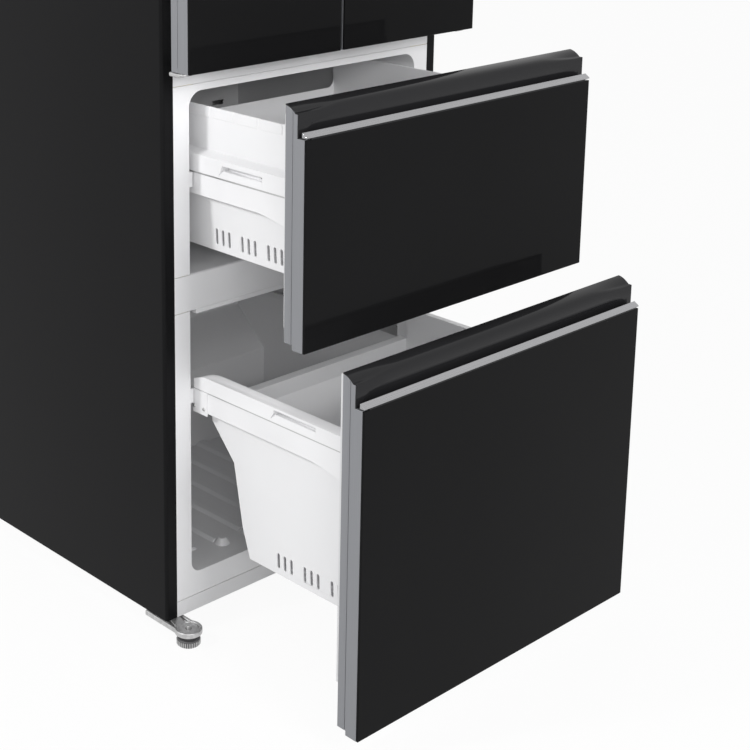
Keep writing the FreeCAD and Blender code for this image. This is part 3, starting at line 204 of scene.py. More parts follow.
# Spread of the roughness, depths of the relief, and stretches of patterns that run along one axis.
ROUGH_SPREAD = 0.08
SKIN_DEPTH = 0.2 * MM
BRUSH_DEPTH = 0.1 * MM
BUBBLE_DEPTH = 1.0 * MM
LENGTHWISE_X = (4, 900, 900)
LENGTHWISE_Y = (900, 4, 900)
LENGTHWISE_Z = (700, 700, 4)
UPRIGHT_TRIM = (600, 600, 5)


def paint(finish, base, rough, grain=700.0, gloss=0.4):
    """Sprayed paint with a fine orange-peel skin."""
    cloud = finish.noise(scale=5.0)
    peel = finish.noise(grain, detail=2.0)
    return finish.done({"Base Color": finish.tint(cloud, base, spread=0.08),
                        "Roughness": rough - ROUGH_SPREAD / 2 + cloud * ROUGH_SPREAD,
                        "Normal": finish.bump(peel, strength=0.12, distance=SKIN_DEPTH),
                        "Specular IOR Level": gloss})


def black_glass(finish, base):
    """Glass with black paint behind it."""
    cloud = finish.noise(scale=2.5)
    return finish.done({"Base Color": finish.tint(cloud, base, spread=0.15),
                        "Roughness": 0.045 + cloud * 0.03, "Specular IOR Level": 0.035, "IOR": 1.5})


def brushed(finish, base, rough, stretch):
    """Metal brushed along the axis with the smallest stretch."""
    streak = finish.noise(scale=1.0, detail=4.0, stretch=stretch)
    return finish.done({"Base Color": finish.tint(streak, base, spread=0.10),
                        "Roughness": rough - 0.06 + streak * 0.14, "Metallic": 1.0,
                        "Normal": finish.bump(streak, strength=0.05, distance=BRUSH_DEPTH)})


def silver_paint(finish, base):
    """Metallic silver coat drawn along the upright trims."""
    streak = finish.noise(scale=1.0, stretch=UPRIGHT_TRIM)
    flake = finish.noise(scale=1500.0, detail=1.0)
    return finish.done({"Base Color": finish.tint(streak, base, spread=0.06),
                        "Roughness": 0.36 + flake * 0.12, "Metallic": 0.55})


def moulded(finish, base, rough=0.34, grain=900.0, relief=0.05, gloss=0.42):
    """Moulded plastic with a faint grain."""
    cloud = finish.noise(scale=7.0)
    skin = finish.noise(grain, detail=2.0)
    return finish.done({"Base Color": finish.tint(cloud, base, spread=0.02),
                        "Roughness": rough - ROUGH_SPREAD / 2 + cloud * ROUGH_SPREAD,
                        "Normal": finish.bump(skin, strength=relief, distance=SKIN_DEPTH),
                        "Specular IOR Level": gloss})


def see_through(finish, base, alpha):
    """Clear plastic or glass as a thin coloured sheet."""
    cloud = finish.noise(scale=9.0)
    return finish.done({"Base Color": finish.tint(cloud, base, spread=0.04),
                        "Roughness": 0.06 + cloud * ROUGH_SPREAD, "Alpha": alpha})


def zinc_plate(finish, base):
    """Plated steel with a soft crystal pattern."""
    spangle = finish.node("ShaderNodeSeparateColor", {}, {0: finish.cells(scale=160.0)})
    cloud = finish.noise(scale=30.0)
    return finish.done({"Base Color": finish.tint(spangle, base, spread=0.10),
                        "Roughness": 0.38 + cloud * 0.14, "Metallic": 1.0})


def foam(finish, base):
    """Hardened foam with bubbles."""
    bubble = finish.node("ShaderNodeTexVoronoi", {}, {"Vector": finish.place, "Scale": 350.0})
    return finish.done({"Base Color": finish.tint(bubble, base, spread=0.12),
                        "Roughness": 0.85 + bubble * 0.1,
                        "Normal": finish.bump(bubble, strength=0.6, distance=BUBBLE_DEPTH)})


# Finish of each slot: how it is made, its colour, and what differs from that way's usual values.
RECIPES = {
    "cabinet_black": (paint, "cabinet", dict(rough=0.36, gloss=0.06)),
    "frame_white": (moulded, "white", {}),
    "liner_white": (moulded, "white", {}),
    "divider_grey": (paint, "grey", dict(rough=0.32)),
    "front_white": (moulded, "white", {}),
    "basket_white": (moulded, "white", dict(rough=0.30)),
    "black_glass": (black_glass, "glass", {}),
    "trim_silver": (silver_paint, "trim", {}),
    "strip_aluminium": (brushed, "strip", dict(rough=0.26, stretch=LENGTHWISE_X)),
    "grip_black": (moulded, "grip", dict(rough=0.10, grain=1200.0, relief=0.01, gloss=0.13)),
    "gasket_white": (moulded, "seal", dict(rough=0.55)),
    "rail_white": (paint, "white", dict(rough=0.30)),
    "rail_grey": (brushed, "zinc", dict(rough=0.34, stretch=LENGTHWISE_Y)),
    "zinc": (zinc_plate, "zinc", {}),
    "hinge_silver": (brushed, "zinc", dict(rough=0.34, stretch=LENGTHWISE_X)),
    "cover_black": (moulded, "dark", dict(rough=0.45, grain=800.0, relief=0.2)),
    "foot_grey": (moulded, "foot", dict(rough=0.5, relief=0.2)),
    "roller_grey": (moulded, "grey", dict(rough=0.5)),
    "foam": (foam, "foam", {}),
    "shelf_glass": (see_through, "clear", dict(alpha=0.35)),
    "crisper_clear": (see_through, "clear", dict(alpha=0.5)),
    "bin_clear": (see_through, "clear", dict(alpha=0.55)),
    "compressor_black": (paint, "cabinet", dict(rough=0.25, grain=300.0)),
    "coil_aluminium": (brushed, "strip", dict(rough=0.42, stretch=LENGTHWISE_Z)),
    "zinc_sheet": (paint, "grey", dict(rough=0.45)),
    "fan_black": (moulded, "dark", dict(rough=0.45)),
    "box_grey": (moulded, "grey", dict(rough=0.45)),
}


def finish_of(slot):
    """Material of a slot, made on first use."""
    made = bpy.data.materials.get("finish_" + slot)
    if made is None:
        recipe, tone, values = RECIPES[slot]
        made = recipe(Finish("finish_" + slot), getattr(bpy.context.scene.fridge_colours, tone), **values)
    return made


def dress(*nodes):
    """Give CAD nodes the finish of their slots."""
    for node in nodes:
        NODES[node].material_slots[0].material = finish_of(SLOT_OF[node])


def add_piece(name, mesh, slot, body, *replaced):
    """Link a finished mesh as a piece that rides on a body."""
    piece = bpy.data.objects.new(name, mesh)
    bpy.context.scene.collection.objects.link(piece)
    mesh.materials.clear()
    mesh.materials.append(finish_of(slot))
    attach(piece, body)
    if replaced:
        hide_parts(*replaced)


def evaluated(name, piece):
    """Plain mesh of a working object with its modifiers applied; the object goes."""
    graph = bpy.context.evaluated_depsgraph_get()
    mesh = bpy.data.meshes.new_from_object(piece.evaluated_get(graph), depsgraph=graph)
    mesh.name = name
    source = piece.data
    bpy.data.objects.remove(piece)
    bpy.data.meshes.remove(source)
    return mesh


def working_object(name, mesh):
    """Unfinished object for modifiers."""
    piece = bpy.data.objects.new(name, mesh)
    bpy.context.scene.collection.objects.link(piece)
    return piece


# Edges sharper than the first angle are rounded, faces flatter than the second are joined, and points
# closer than the distance are merged. The CAD meshes keep their normals in an attribute.
SHARP_ANGLE = math.radians(40)
FLAT_ANGLE = math.radians(0.6)
SAME_POINT = 2e-6
CAD_NORMALS = "custom_normal"


def rounded_mesh(name, mesh, width, segments=2):
    """Mesh with its sharp edges rounded and its flats kept flat."""
    work = working_object(name, mesh)
    for polygon in mesh.polygons:
        polygon.use_smooth = True
    bevel = work.modifiers.new("edges", "BEVEL")
    bevel.width = width
    bevel.segments = segments
    bevel.limit_method = "ANGLE"
    bevel.angle_limit = SHARP_ANGLE
    bevel.use_clamp_overlap = False
    bevel.harden_normals = True
    return evaluated(name, work)


def merged_copy(node):
    """Copy of a CAD node's mesh as joined flat faces."""
    mesh = NODES[node].data.copy()
    if CAD_NORMALS in mesh.attributes:
        mesh.attributes.remove(mesh.attributes[CAD_NORMALS])
    work = bmesh.new()
    work.from_mesh(mesh)
    bmesh.ops.remove_doubles(work, verts=work.verts, dist=SAME_POINT)
    bmesh.ops.dissolve_limit(work, angle_limit=FLAT_ANGLE, verts=work.verts, edges=work.edges)
    work.to_mesh(mesh)
    work.free()
    return mesh


def soften(node, width, segments=2):
    """Replace a CAD node by its own shape with rounded edges."""
    mesh = rounded_mesh(node + "_form", merged_copy(node), width, segments)
    add_piece(node + "_form", mesh, SLOT_OF[node], BODY_OF[node], node)


def plain_mesh(name, work):
    """Mesh of finished work."""
    mesh = bpy.data.meshes.new(name)
    work.to_mesh(mesh)
    work.free()
    return mesh


def box_mesh(name, boxes):
    """Mesh of blocks given by their low and high corners."""
    work = bmesh.new()
    for low, high in boxes:
        made = bmesh.ops.create_cube(work, size=1)["verts"]
        for vert in made:
            vert.co = Vector(low[i] + (vert.co[i] + 0.5) * (high[i] - low[i]) for i in range(3))
    return plain_mesh(name, work)


def loft(work, outlines, ring=False):
    """Skin through a row of outlines with equal numbers of points, with end caps or joined into a ring."""
    rows = [[work.verts.new(point) for point in outline] for outline in outlines]
    next_rows = rows[1:] + rows[:1] if ring else rows[1:]
    for row, following in zip(rows, next_rows):
        for index in range(len(row)):
            beside = (index + 1) % len(row)
            work.faces.new((row[index], row[beside], following[beside], following[index]))
    if not ring:
        work.faces.new(rows[0])
        work.faces.new(rows[-1])


def ring_mesh(name, outlines):
    """Mesh through a row of outlines that closes on itself both ways."""
    work = bmesh.new()
    loft(work, outlines, True)
    bmesh.ops.recalc_face_normals(work, faces=work.faces)
    return plain_mesh(name, work)


def smooth_mesh(name, work, angle):
    """Mesh of finished work with smooth shading across edges below an angle in degrees."""
    bmesh.ops.recalc_face_normals(work, faces=work.faces)
    for face in work.faces:
        face.smooth = True
    mesh = plain_mesh(name, work)
    mesh.set_sharp_from_angle(angle=math.radians(angle))
    return mesh


# Outlines of a grip in millimetres behind the front of the glass and below the top, from the back over the
# cap and the face into the finger channel: at the side trims, in the middle, and the hidden part of both.
GRIP_END = ((45, 0), (42, 0.5), (38.5, 1.5), (35, 2.9), (31.5, 4.8), (28.5, 6.8), (26, 8.9), (23.5, 11),
            (17.6, 11), (17, 11.6), (17, 30), (17, 49), (17.3, 50), (18, 53), (21, 57), (25, 61), (27, 68))
GRIP_MIDDLE = ((45, 0), (42, 0.2), (38.5, 0.6), (35, 1.1), (31.5, 1.8), (28.5, 2.6), (26, 3.4), (22.5, 5.0),
               (18.8, 8.2), (17, 12.5), (16.8, 18), (16.9, 22), (17.3, 25), (18.4, 31), (20, 38), (22, 46),
               (24, 68))
GRIP_HIDDEN = ((8, 68), (8, 47.2), (0.5, 47.2), (0.5, 50), (4, 50), (4, 72), (31, 72), (31, 15), (45, 2))
GRIP_BEHIND_GLASS = 0.5
# Points of the cap and face, the ends that lap over the side trims, the drop where their cap turns into
# their face, their thickness, steps along the grip, and the angle in degrees below which it shades smooth.
GRIP_FACE_FOOT = 11
GRIP_LAP = 12
GRIP_CAP_DROP = 12
GRIP_SKIN = 2
GRIP_STATIONS = 48
GRIP_SMOOTH = 70


def grip_outline(gap, sizes):
    """Outline of a grip at a distance from its end."""
    rise = min(1, gap / sizes.cap_run)
    cap = rise * rise * (3 - 2 * rise)
    mouth = math.sqrt(1 - (1 - min(1, gap / sizes.mouth_run)) ** 2)
    outline = []
    for index, (end, middle) in enumerate(zip(GRIP_END, GRIP_MIDDLE)):
        share = cap if index < GRIP_FACE_FOOT else mouth
        outline.append(tuple(a + (b - a) * share for a, b in zip(end, middle)))
    return outline


def grip_mesh(node):
    """Black grip whose cap and finger opening run out into the profile of the side trims."""
    low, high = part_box(node)
    sizes = bpy.context.scene.fridge_sizes
    front, half = low.y - GRIP_BEHIND_GLASS * MM, high.x - GRIP_LAP * MM

    def placed(x, outline):
        return [(x, front + back * MM, high.z - drop * MM) for back, drop in outline]

    work = bmesh.new()
    outlines = []
    for step in range(GRIP_STATIONS + 1):
        x = -half * math.cos(math.pi * step / GRIP_STATIONS)
        outlines.append(placed(x, tuple(grip_outline(half - abs(x), sizes)) + GRIP_HIDDEN))
    loft(work, outlines)
    over = GRIP_END[:GRIP_FACE_FOOT + 2]
    under = [(back + GRIP_SKIN, drop) if drop > GRIP_CAP_DROP else (back, drop + GRIP_SKIN)
             for back, drop in over[::-1]]
    for side in (-1, 1):
        loft(work, [placed(side * x, over + tuple(under)) for x in (half, high.x)])
    return smooth_mesh(node + "_form", work, GRIP_SMOOTH)


# The side trims start behind the front of the glass, and their beads stop short of both ends.
TRIM_BEHIND_GLASS = 4 * MM
BEAD_END = 9 * MM
BEAD_STEPS = 12
BEAD_SMOOTH = 60


def bead_mesh(name, node):
    """Upright beads along both outer faces of a pair of side trims."""
    low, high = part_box(node)
    sizes = bpy.context.scene.fridge_sizes
    work = bmesh.new()
    y = low.y - TRIM_BEHIND_GLASS + sizes.bead_back
    for x in (low.x, high.x):
        ring = []
        for step in range(BEAD_STEPS):
            angle = math.tau * step / BEAD_STEPS
            ring.append((x + sizes.bead_radius * math.cos(angle), y + sizes.bead_radius * math.sin(angle)))
        loft(work, [[(px, py, z) for px, py in ring] for z in (low.z + BEAD_END, high.z - BEAD_END)])
    return smooth_mesh(name, work, BEAD_SMOOTH)


# Folded section of a seal in millimetres: distance in from the gasket's outline and behind its front.
SEAL_PROFILE = ((1.0, 0.0), (11.0, 0.0), (11.0, 2.2), (8.6, 3.2), (8.6, 4.4), (11.4, 5.6), (12.0, 7.0),
                (12.0, 11.0), (11.0, 12.0), (1.0, 12.0), (0.0, 11.0), (0.0, 7.0), (0.6, 5.6), (3.4, 4.4),
                (3.4, 3.2), (1.0, 2.2))
SEAL_EDGE = 0.4 * MM


def seal_mesh(node):
    """Folded magnetic seal swept round the rectangle of a CAD gasket."""
    low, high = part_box(node)
    outlines = []
    for inset, depth in SEAL_PROFILE:
        x0, x1 = low.x + inset * MM, high.x - inset * MM
        z0, z1 = low.z + inset * MM, high.z - inset * MM
        y = low.y + depth * MM
        outlines.append(((x0, y, z0), (x1, y, z0), (x1, y, z1), (x0, y, z1)))
    return rounded_mesh(node + "_folds", ring_mesh(node + "_folds", outlines), SEAL_EDGE)


# Sections of the washer in a foot bracket and of the pin on a foot's stud, in millimetres: distance from the
# foot's axis and height over the bracket's underside.
WASHER_SECTION = ((5.8, 3.6), (18.7, 3.6), (18.7, 7.6), (5.8, 8.4))
WASHER_EDGE = 0.6 * MM
PIN_SECTION = ((5.3, 6.5), (5.3, 9.2), (4.8, 9.5), (2.5, 9.7), (2.5, 12.4), (2.1, 13.0))
PIN_SMOOTH = 50
FOOT_STEPS = 48


def foot_circles(foot, section):
    """Circles round the axis of a levelling foot through the points of a section."""
    low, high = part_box(foot)
    centre = (low + high) / 2
    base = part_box("foot_brackets")[0].z
    turns = [math.tau * step / FOOT_STEPS for step in range(FOOT_STEPS)]
    return [[(centre.x + radius * MM * math.cos(turn), centre.y + radius * MM * math.sin(turn),
              base + height * MM) for turn in turns] for radius, height in section]


def washer_mesh(name, foot):
    """Dished washer in a foot bracket, round the stud of its levelling foot."""
    return rounded_mesh(name, ring_mesh(name, foot_circles(foot, WASHER_SECTION)), WASHER_EDGE)


def pin_mesh(name, foot):
    """Cap with an adjusting pin on the stud of a levelling foot."""
    work = bmesh.new()
    loft(work, foot_circles(foot, PIN_SECTION))
    return smooth_mesh(name, work, PIN_SMOOTH)


# Corners of the left sleeve on the middle hinges, from the low corner of both hinge plates, and how far the
# outer edge of a plate draws in toward the cabinet.
SLEEVE_LOW = Vector((-0.5, 11, -3.3)) * MM
SLEEVE_HIGH = Vector((16, 38.4, 4.4)) * MM
SLEEVE_EDGE = 3 * MM
SLEEVE_SEGMENTS = 4
HINGE_DRAW_IN = 18 * MM


def sleeve_mesh(name):
    """Sleeves over the noses of both middle hinges."""
    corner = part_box("middle_hinges")[0]
    low, high = corner + SLEEVE_LOW, corner + SLEEVE_HIGH
    right = ((-high.x, low.y, low.z), (-low.x, high.y, high.z))
    return rounded_mesh(name, box_mesh(name, ((low, high), right)), SLEEVE_EDGE, SLEEVE_SEGMENTS)


def hinge_mesh(node):
    """Middle hinges whose plates narrow toward the cabinet."""
    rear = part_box(node)[1].y
    mesh = merged_copy(node)
    rear_verts = [vert for vert in mesh.vertices if vert.co.y > rear - MM]
    outer = max(vert.co.x for vert in rear_verts)
    for vert in rear_verts:
        if abs(vert.co.x) > outer - MM:
            vert.co.x -= math.copysign(HINGE_DRAW_IN, vert.co.x)
    return rounded_mesh(node + "_form", mesh, bpy.context.scene.fridge_sizes.metal_edge)


# Steel strips on the outer top edges of the drawer rails, under the bars of a basket. They are painted shade:
# grey strips that draw the dark shadow line where a bar overhangs its rail.
STRIP_PROUD = 0.5 * MM
STRIP_WIDTH = 8 * MM
STRIP_HEIGHT = 3.4 * MM
STRIP_END = 8 * MM
STRIP_ROUND = 0.2 * MM
RAIL_PLATE = 2 * MM


def rail_shade_strip_mesh(name, drawer):
    """Strips along the outer top edges of both drawer rails, as painted shade for the shadow line under the
    bars.
    """
    low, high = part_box(drawer + "_rails")
    front, rear = low.y + STRIP_END, high.y - STRIP_END
    outer = high.x - RAIL_PLATE + STRIP_PROUD
    boxes = []
    for side in (-1, 1):
        x0, x1 = sorted((side * outer, side * (outer - STRIP_WIDTH)))
        boxes.append(((x0, front, high.z - STRIP_HEIGHT), (x1, rear, high.z)))
    return rounded_mesh(name, box_mesh(name, boxes), STRIP_ROUND)


# Pocket in the finger hold of a basket's bar, in millimetres: front and rear ends behind the front of the
# rails, depths there behind the bar's outer face, and bottom and top above the rails.
POCKET_ENDS = (92, 187)
POCKET_DEPTHS = (9.5, 16)
POCKET_HEIGHTS = (12, 21.6)
POCKET_OUTSIDE = MM
POCKET_SMOOTH = 1


def pocket_mesh(name, drawer, basket):
    """Solids that deepen the finger holds of both bars toward their rear ends."""
    rails_low, rails_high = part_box(drawer + "_rails")
    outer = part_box(basket)[1].x
    outside = outer + POCKET_OUTSIDE
    front, rear = (rails_low.y + end * MM for end in POCKET_ENDS)
    shallow, deep = (outer - depth * MM for depth in POCKET_DEPTHS)
    plan = ((outside, front), (outside, rear), (deep, rear), (shallow, front))
    levels = [rails_high.z + height * MM for height in POCKET_HEIGHTS]
    work = bmesh.new()
    for side in (-1, 1):
        loft(work, [[(side * x, y, z) for x, y in plan] for z in levels])
    return smooth_mesh(name, work, POCKET_SMOOTH)


def basket_mesh(drawer, basket):
    """Basket with rounded edges and pockets in its finger holds."""
    cutter = working_object(basket + "_pockets", pocket_mesh(basket + "_pockets", drawer, basket))
    work = working_object(basket + "_cut", merged_copy(basket))
    cut = work.modifiers.new("pockets", "BOOLEAN")
    cut.operation = "DIFFERENCE"
    cut.solver = "EXACT"
    cut.object = cutter
    mesh = evaluated(basket + "_cut", work)
    pockets = cutter.data
    bpy.data.objects.remove(cutter)
    bpy.data.meshes.remove(pockets)
    return rounded_mesh(basket + "_form", mesh, bpy.context.scene.fridge_sizes.plastic_edge)


class Tree:
    """A geometry node tree with named inputs."""

    def __init__(self, name, inputs):
        self.group = bpy.data.node_groups.new(name, "GeometryNodeTree")
        sockets = self.group.interface
        sockets.new_socket("Geometry", in_out="INPUT", socket_type="NodeSocketGeometry")
        for label, kind in inputs.items():
            sockets.new_socket(label, in_out="INPUT", socket_type="NodeSocket" + kind)
        sockets.new_socket("Geometry", in_out="OUTPUT", socket_type="NodeSocketGeometry")
        self.source = self.group.nodes.new("NodeGroupInput")
        self.sink = self.group.nodes.new("NodeGroupOutput")

    def input(self, label):
        """Socket of a named input."""
        return self.source.outputs[label]

    def node(self, kind, settings, inputs, output=0):
        """New node with its settings and inputs, as one output socket."""
        made = self.group.nodes.new(kind)
        for setting, value in settings.items():
            setattr(made, setting, value)
        for key, value in inputs.items():
            links = value if isinstance(value, list) else [value]
            for link in links:
                if isinstance(link, bpy.types.NodeSocket):
                    self.group.links.new(link, made.inputs[key])
                else:
                    made.inputs[key].default_value = link
        return made.outputs[output]

    def finish(self, geometry):
        """End the tree in real geometry with a material."""
        real = self.node("GeometryNodeRealizeInstances", {}, {0: geometry})
        painted = self.node("GeometryNodeSetMaterial", {},
                            {"Geometry": real, "Material": self.input("Material")})
        self.group.links.new(painted, self.sink.inputs[0])

    def grow(self, name, points, values):
        """Plain mesh that the tree makes on a set of points."""
        mesh = bpy.data.meshes.new(name)
        mesh.from_pydata(points, [], [])
        work = working_object(name, mesh)
        modifier = work.modifiers.new("grow", "NODES")
        modifier.node_group = self.group
        for item in self.group.interface.items_tree:
            if item.in_out == "INPUT" and item.name in values:
                modifier[item.identifier] = values[item.name]
        return evaluated(name, work)


# Screw heads and ribs: sides of the round forms, and shares of a screw head's radius.
SCREW_SIDES = 24
SCREW_TOP = 0.62
SCREW_SLOT = 0.24
RIB_SIDES = 8


def screw_tree():
    """Countersunk screw heads with a cross recess, one on each point, facing along a turned Z axis."""
    tree = Tree("screw_heads", {"Radius": "Float", "Height": "Float", "Turn": "Rotation",
                                "Material": "Material"})
    radius, height = tree.input("Radius"), tree.input("Height")

    def scaled(value, factor):
        return tree.node("ShaderNodeMath", {"operation": "MULTIPLY"}, {0: value, 1: factor})

    head = tree.node("GeometryNodeMeshCone", {},
                     {"Vertices": SCREW_SIDES, "Radius Top": scaled(radius, SCREW_TOP),
                      "Radius Bottom": radius, "Depth": height}, "Mesh")
    cuts = []
    for long, wide in ((1.0, SCREW_SLOT), (SCREW_SLOT, 1.0)):
        size = tree.node("ShaderNodeCombineXYZ", {},
                         {"X": scaled(radius, long), "Y": scaled(radius, wide), "Z": height})
        cube = tree.node("GeometryNodeMeshCube", {}, {"Size": size}, "Mesh")
        lift = tree.node("ShaderNodeCombineXYZ", {}, {"Z": height})
        cuts.append(tree.node("GeometryNodeTransform", {}, {"Geometry": cube, "Translation": lift}))
    cross = tree.node("GeometryNodeMeshBoolean", {"operation": "DIFFERENCE"},
                      {"Mesh 1": head, "Mesh 2": cuts})
    placed = tree.node("GeometryNodeInstanceOnPoints", {},
                       {"Points": tree.input("Geometry"), "Instance": cross, "Rotation": tree.input("Turn")})
    tree.finish(placed)
    return tree


def rib_tree():
    """Upright ribs round a circle centred on each point."""
    tree = Tree("round_ribs", {"Count": "Int", "Radius": "Float", "Width": "Float", "Height": "Float",
                               "Material": "Material"})
    circle = tree.node("GeometryNodeMeshCircle", {},
                       {"Vertices": tree.input("Count"), "Radius": tree.input("Radius")})
    rib = tree.node("GeometryNodeMeshCylinder", {},
                    {"Vertices": RIB_SIDES, "Radius": tree.input("Width"), "Depth": tree.input("Height")},
                    "Mesh")
    ribs = tree.node("GeometryNodeInstanceOnPoints", {}, {"Points": circle, "Instance": rib})
    placed = tree.node("GeometryNodeInstanceOnPoints", {},
                       {"Points": tree.input("Geometry"), "Instance": ribs})
    tree.finish(placed)
    return tree


TREES = {}


def shared_tree(make):
    """Tree that is built once."""
    if make not in TREES:
        TREES[make] = make()
    return TREES[make]


def add_screws(name, body, points, turn):
    """Screw heads on points, facing along a turned Z axis."""
    sizes = bpy.context.scene.fridge_sizes
    values = {"Radius": sizes.screw_radius, "Height": sizes.screw_height, "Turn": turn,
              "Material": finish_of("zinc")}
    add_piece(name, shared_tree(screw_tree).grow(name, points, values), "zinc", body)


def add_beads(front):
    """Beads along the side trims of a door or drawer."""
    name, trims = front + "_trim_beads", front + "_frame"
    add_piece(name, bead_mesh(name, trims), SLOT_OF[trims], front)


def add_seal(front):
    """Folded seal in place of the gasket of a door or drawer."""
    gasket = front + "_gasket"
    add_piece(gasket + "_folds", seal_mesh(gasket), SLOT_OF[gasket], front, gasket)


# Places of the screws, sizes of the ribs on the levelling feet, and segments of the larger roundings.
FACING_LEFT = (0, -math.pi / 2, 0)
FACING_RIGHT = (0, math.pi / 2, 0)
FACING_BACK = (-math.pi / 2, 0, 0)
RAIL_SCREW_DROP = 34.5 * MM
RAIL_SCREWS_BACK = (3.7 * MM, 29 * MM)
COVER_SCREW_INSET = 14 * MM
COVER_SCREW_GAPS = 4
COVER_SEGMENTS = 3
BRACKET_SEGMENTS = 4
FOOT_EDGE = 0.5 * MM
FOOT_RIB_PROUD = 0.4 * MM
FOOT_RIB_HEIGHT = 9 * MM
FOOT_RIB_MIDDLE = 6.5 * MM


class FRIDGE_OT_cabinet(bpy.types.Operator):
    """Finish the cabinet's sheets, hinges and covers"""
    bl_idname = "fridge.cabinet"
    bl_label = "Cabinet"

    def execute(self, context):
        sizes = context.scene.fridge_sizes
        dress("side_panels", "top_panel", "rear_panel", "base_pan", "insulation_foam", "machine_cover")
        soften("top_hinges", sizes.metal_edge)
        hinge_slot, hinge_body = SLOT_OF["middle_hinges"], BODY_OF["middle_hinges"]
        add_piece("middle_hinges_form", hinge_mesh("middle_hinges"), hinge_slot, hinge_body, "middle_hinges")
        add_piece("middle_hinge_sleeves", sleeve_mesh("middle_hinge_sleeves"), hinge_slot, hinge_body)
        soften("hinge_covers", sizes.cover_edge, COVER_SEGMENTS)
        low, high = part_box("machine_cover")
        inset = COVER_SCREW_INSET
        points = []
        for step in range(COVER_SCREW_GAPS + 1):
            x = low.x + inset + (high.x - low.x - 2 * inset) * step / COVER_SCREW_GAPS
            points += [(x, high.y, high.z - inset), (x, high.y, low.z + inset)]
        add_screws("machine_cover_screws", "cabinet", points, FACING_BACK)
        return {"FINISHED"}


class FRIDGE_OT_inside(bpy.types.Operator):
    """Finish the liners, beams, shelves and crispers"""
    bl_idname = "fridge.inside"
    bl_label = "Inside"

    def execute(self, context):
        sizes = context.scene.fridge_sizes
        for node in ("fridge_liner", "upper_freezer_liner", "lower_freezer_liner", "divider_beam",
                     "middle_beam", "cabinet_rails", "air_duct", "left_crisper", "right_crisper"):
            soften(node, sizes.plastic_edge)
        dress("fridge_shelves", "evaporator_cover", "evaporator", "evaporator_fan")
        return {"FINISHED"}


class FRIDGE_OT_doors(bpy.types.Operator):
    """Finish both doors and the folding flap"""
    bl_idname = "fridge.doors"
    bl_label = "Doors"

    def execute(self, context):
        sizes = context.scene.fridge_sizes
        for door in DOORS:
            soften(door + "_glass", sizes.glass_edge)
            soften(door + "_frame", sizes.trim_edge)
            add_beads(door)
            soften(door + "_core", sizes.panel_edge)
            soften(door + "_bins", sizes.plastic_edge)
            add_seal(door)
        soften("mullion_flap", sizes.panel_edge)
        return {"FINISHED"}


class FRIDGE_OT_drawers(bpy.types.Operator):
    """Finish both drawers with their baskets and rails"""
    bl_idname = "fridge.drawers"
    bl_label = "Drawers"

    def execute(self, context):
        sizes = context.scene.fridge_sizes
        for drawer in DRAWERS:
            soften(drawer + "_glass", sizes.glass_edge)
            soften(drawer + "_frame", sizes.trim_edge)
            soften(drawer + "_core", sizes.panel_edge)
            grip = drawer + "_grip"
            add_piece(grip + "_form", grip_mesh(grip), SLOT_OF[grip], drawer, grip)
            add_beads(drawer)
            soften(drawer + "_strip", sizes.strip_edge)
            soften(drawer + "_rails", sizes.plastic_edge)
            # Painted shade: grey strips on the rails that draw the shadow line under each basket bar.
            strips = drawer + "_rail_strips"
            add_piece(strips, rail_shade_strip_mesh(strips, drawer), "rail_grey", drawer)
            basket = BASKETS[drawer]
            add_piece(basket + "_form", basket_mesh(drawer, basket), SLOT_OF[basket], BODY_OF[basket], basket)
            add_seal(drawer)
            low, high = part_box(drawer + "_rails")
            middle = high.z - RAIL_SCREW_DROP
            for side, x, turn in (("left", low.x, FACING_LEFT), ("right", high.x, FACING_RIGHT)):
                points = [(x, high.y - back, middle) for back in RAIL_SCREWS_BACK]
                add_screws("%s_%s_rail_screws" % (drawer, side), drawer, points, turn)
        for node in ("upper_middle_rails", "lower_middle_rails"):
            soften(node, sizes.plastic_edge)
        return {"FINISHED"}


class FRIDGE_OT_feet(bpy.types.Operator):
    """Finish the foot brackets, levelling feet and rollers"""
    bl_idname = "fridge.feet"
    bl_label = "Feet"

    def execute(self, context):
        sizes = context.scene.fridge_sizes
        soften("foot_brackets", sizes.bracket_edge, BRACKET_SEGMENTS)
        for foot in ("levelling_foot_left", "levelling_foot_right"):
            soften(foot, FOOT_EDGE)
            low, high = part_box(foot)
            centre = (low + high) / 2
            # The ribs get the lighter zinc finish and the foot keeps its darker colour, so the ribs read as
            # lit and the gaps between them as painted shade.
            values = {"Count": sizes.foot_ribs, "Radius": (high.x - low.x) / 2 + FOOT_RIB_PROUD,
                      "Width": sizes.foot_rib / 2, "Height": FOOT_RIB_HEIGHT, "Material": finish_of("zinc")}
            points = [(centre.x, centre.y, FOOT_RIB_MIDDLE)]
            ribs = foot + "_ribs"
            add_piece(ribs, shared_tree(rib_tree).grow(ribs, points, values), "zinc", foot)
            add_piece(foot + "_pin", pin_mesh(foot + "_pin", foot), "zinc", foot)
            add_piece(foot + "_washer", washer_mesh(foot + "_washer", foot), "zinc", "cabinet")
        dress("rear_rollers")
        return {"FINISHED"}


class FRIDGE_OT_machine(bpy.types.Operator):
    """Finish the cooling machine at the lower back"""
    bl_idname = "fridge.machine"
    bl_label = "Machine"

    def execute(self, context):
        dress("compressor", "condenser", "drip_tray", "control_box", "condenser_fan")
        return {"FINISHED"}


def aim(thing, target):
    """Point a lamp or camera at a place."""
    thing.rotation_euler = (Vector(target) - thing.location).to_track_quat("-Z", "Y").to_euler()


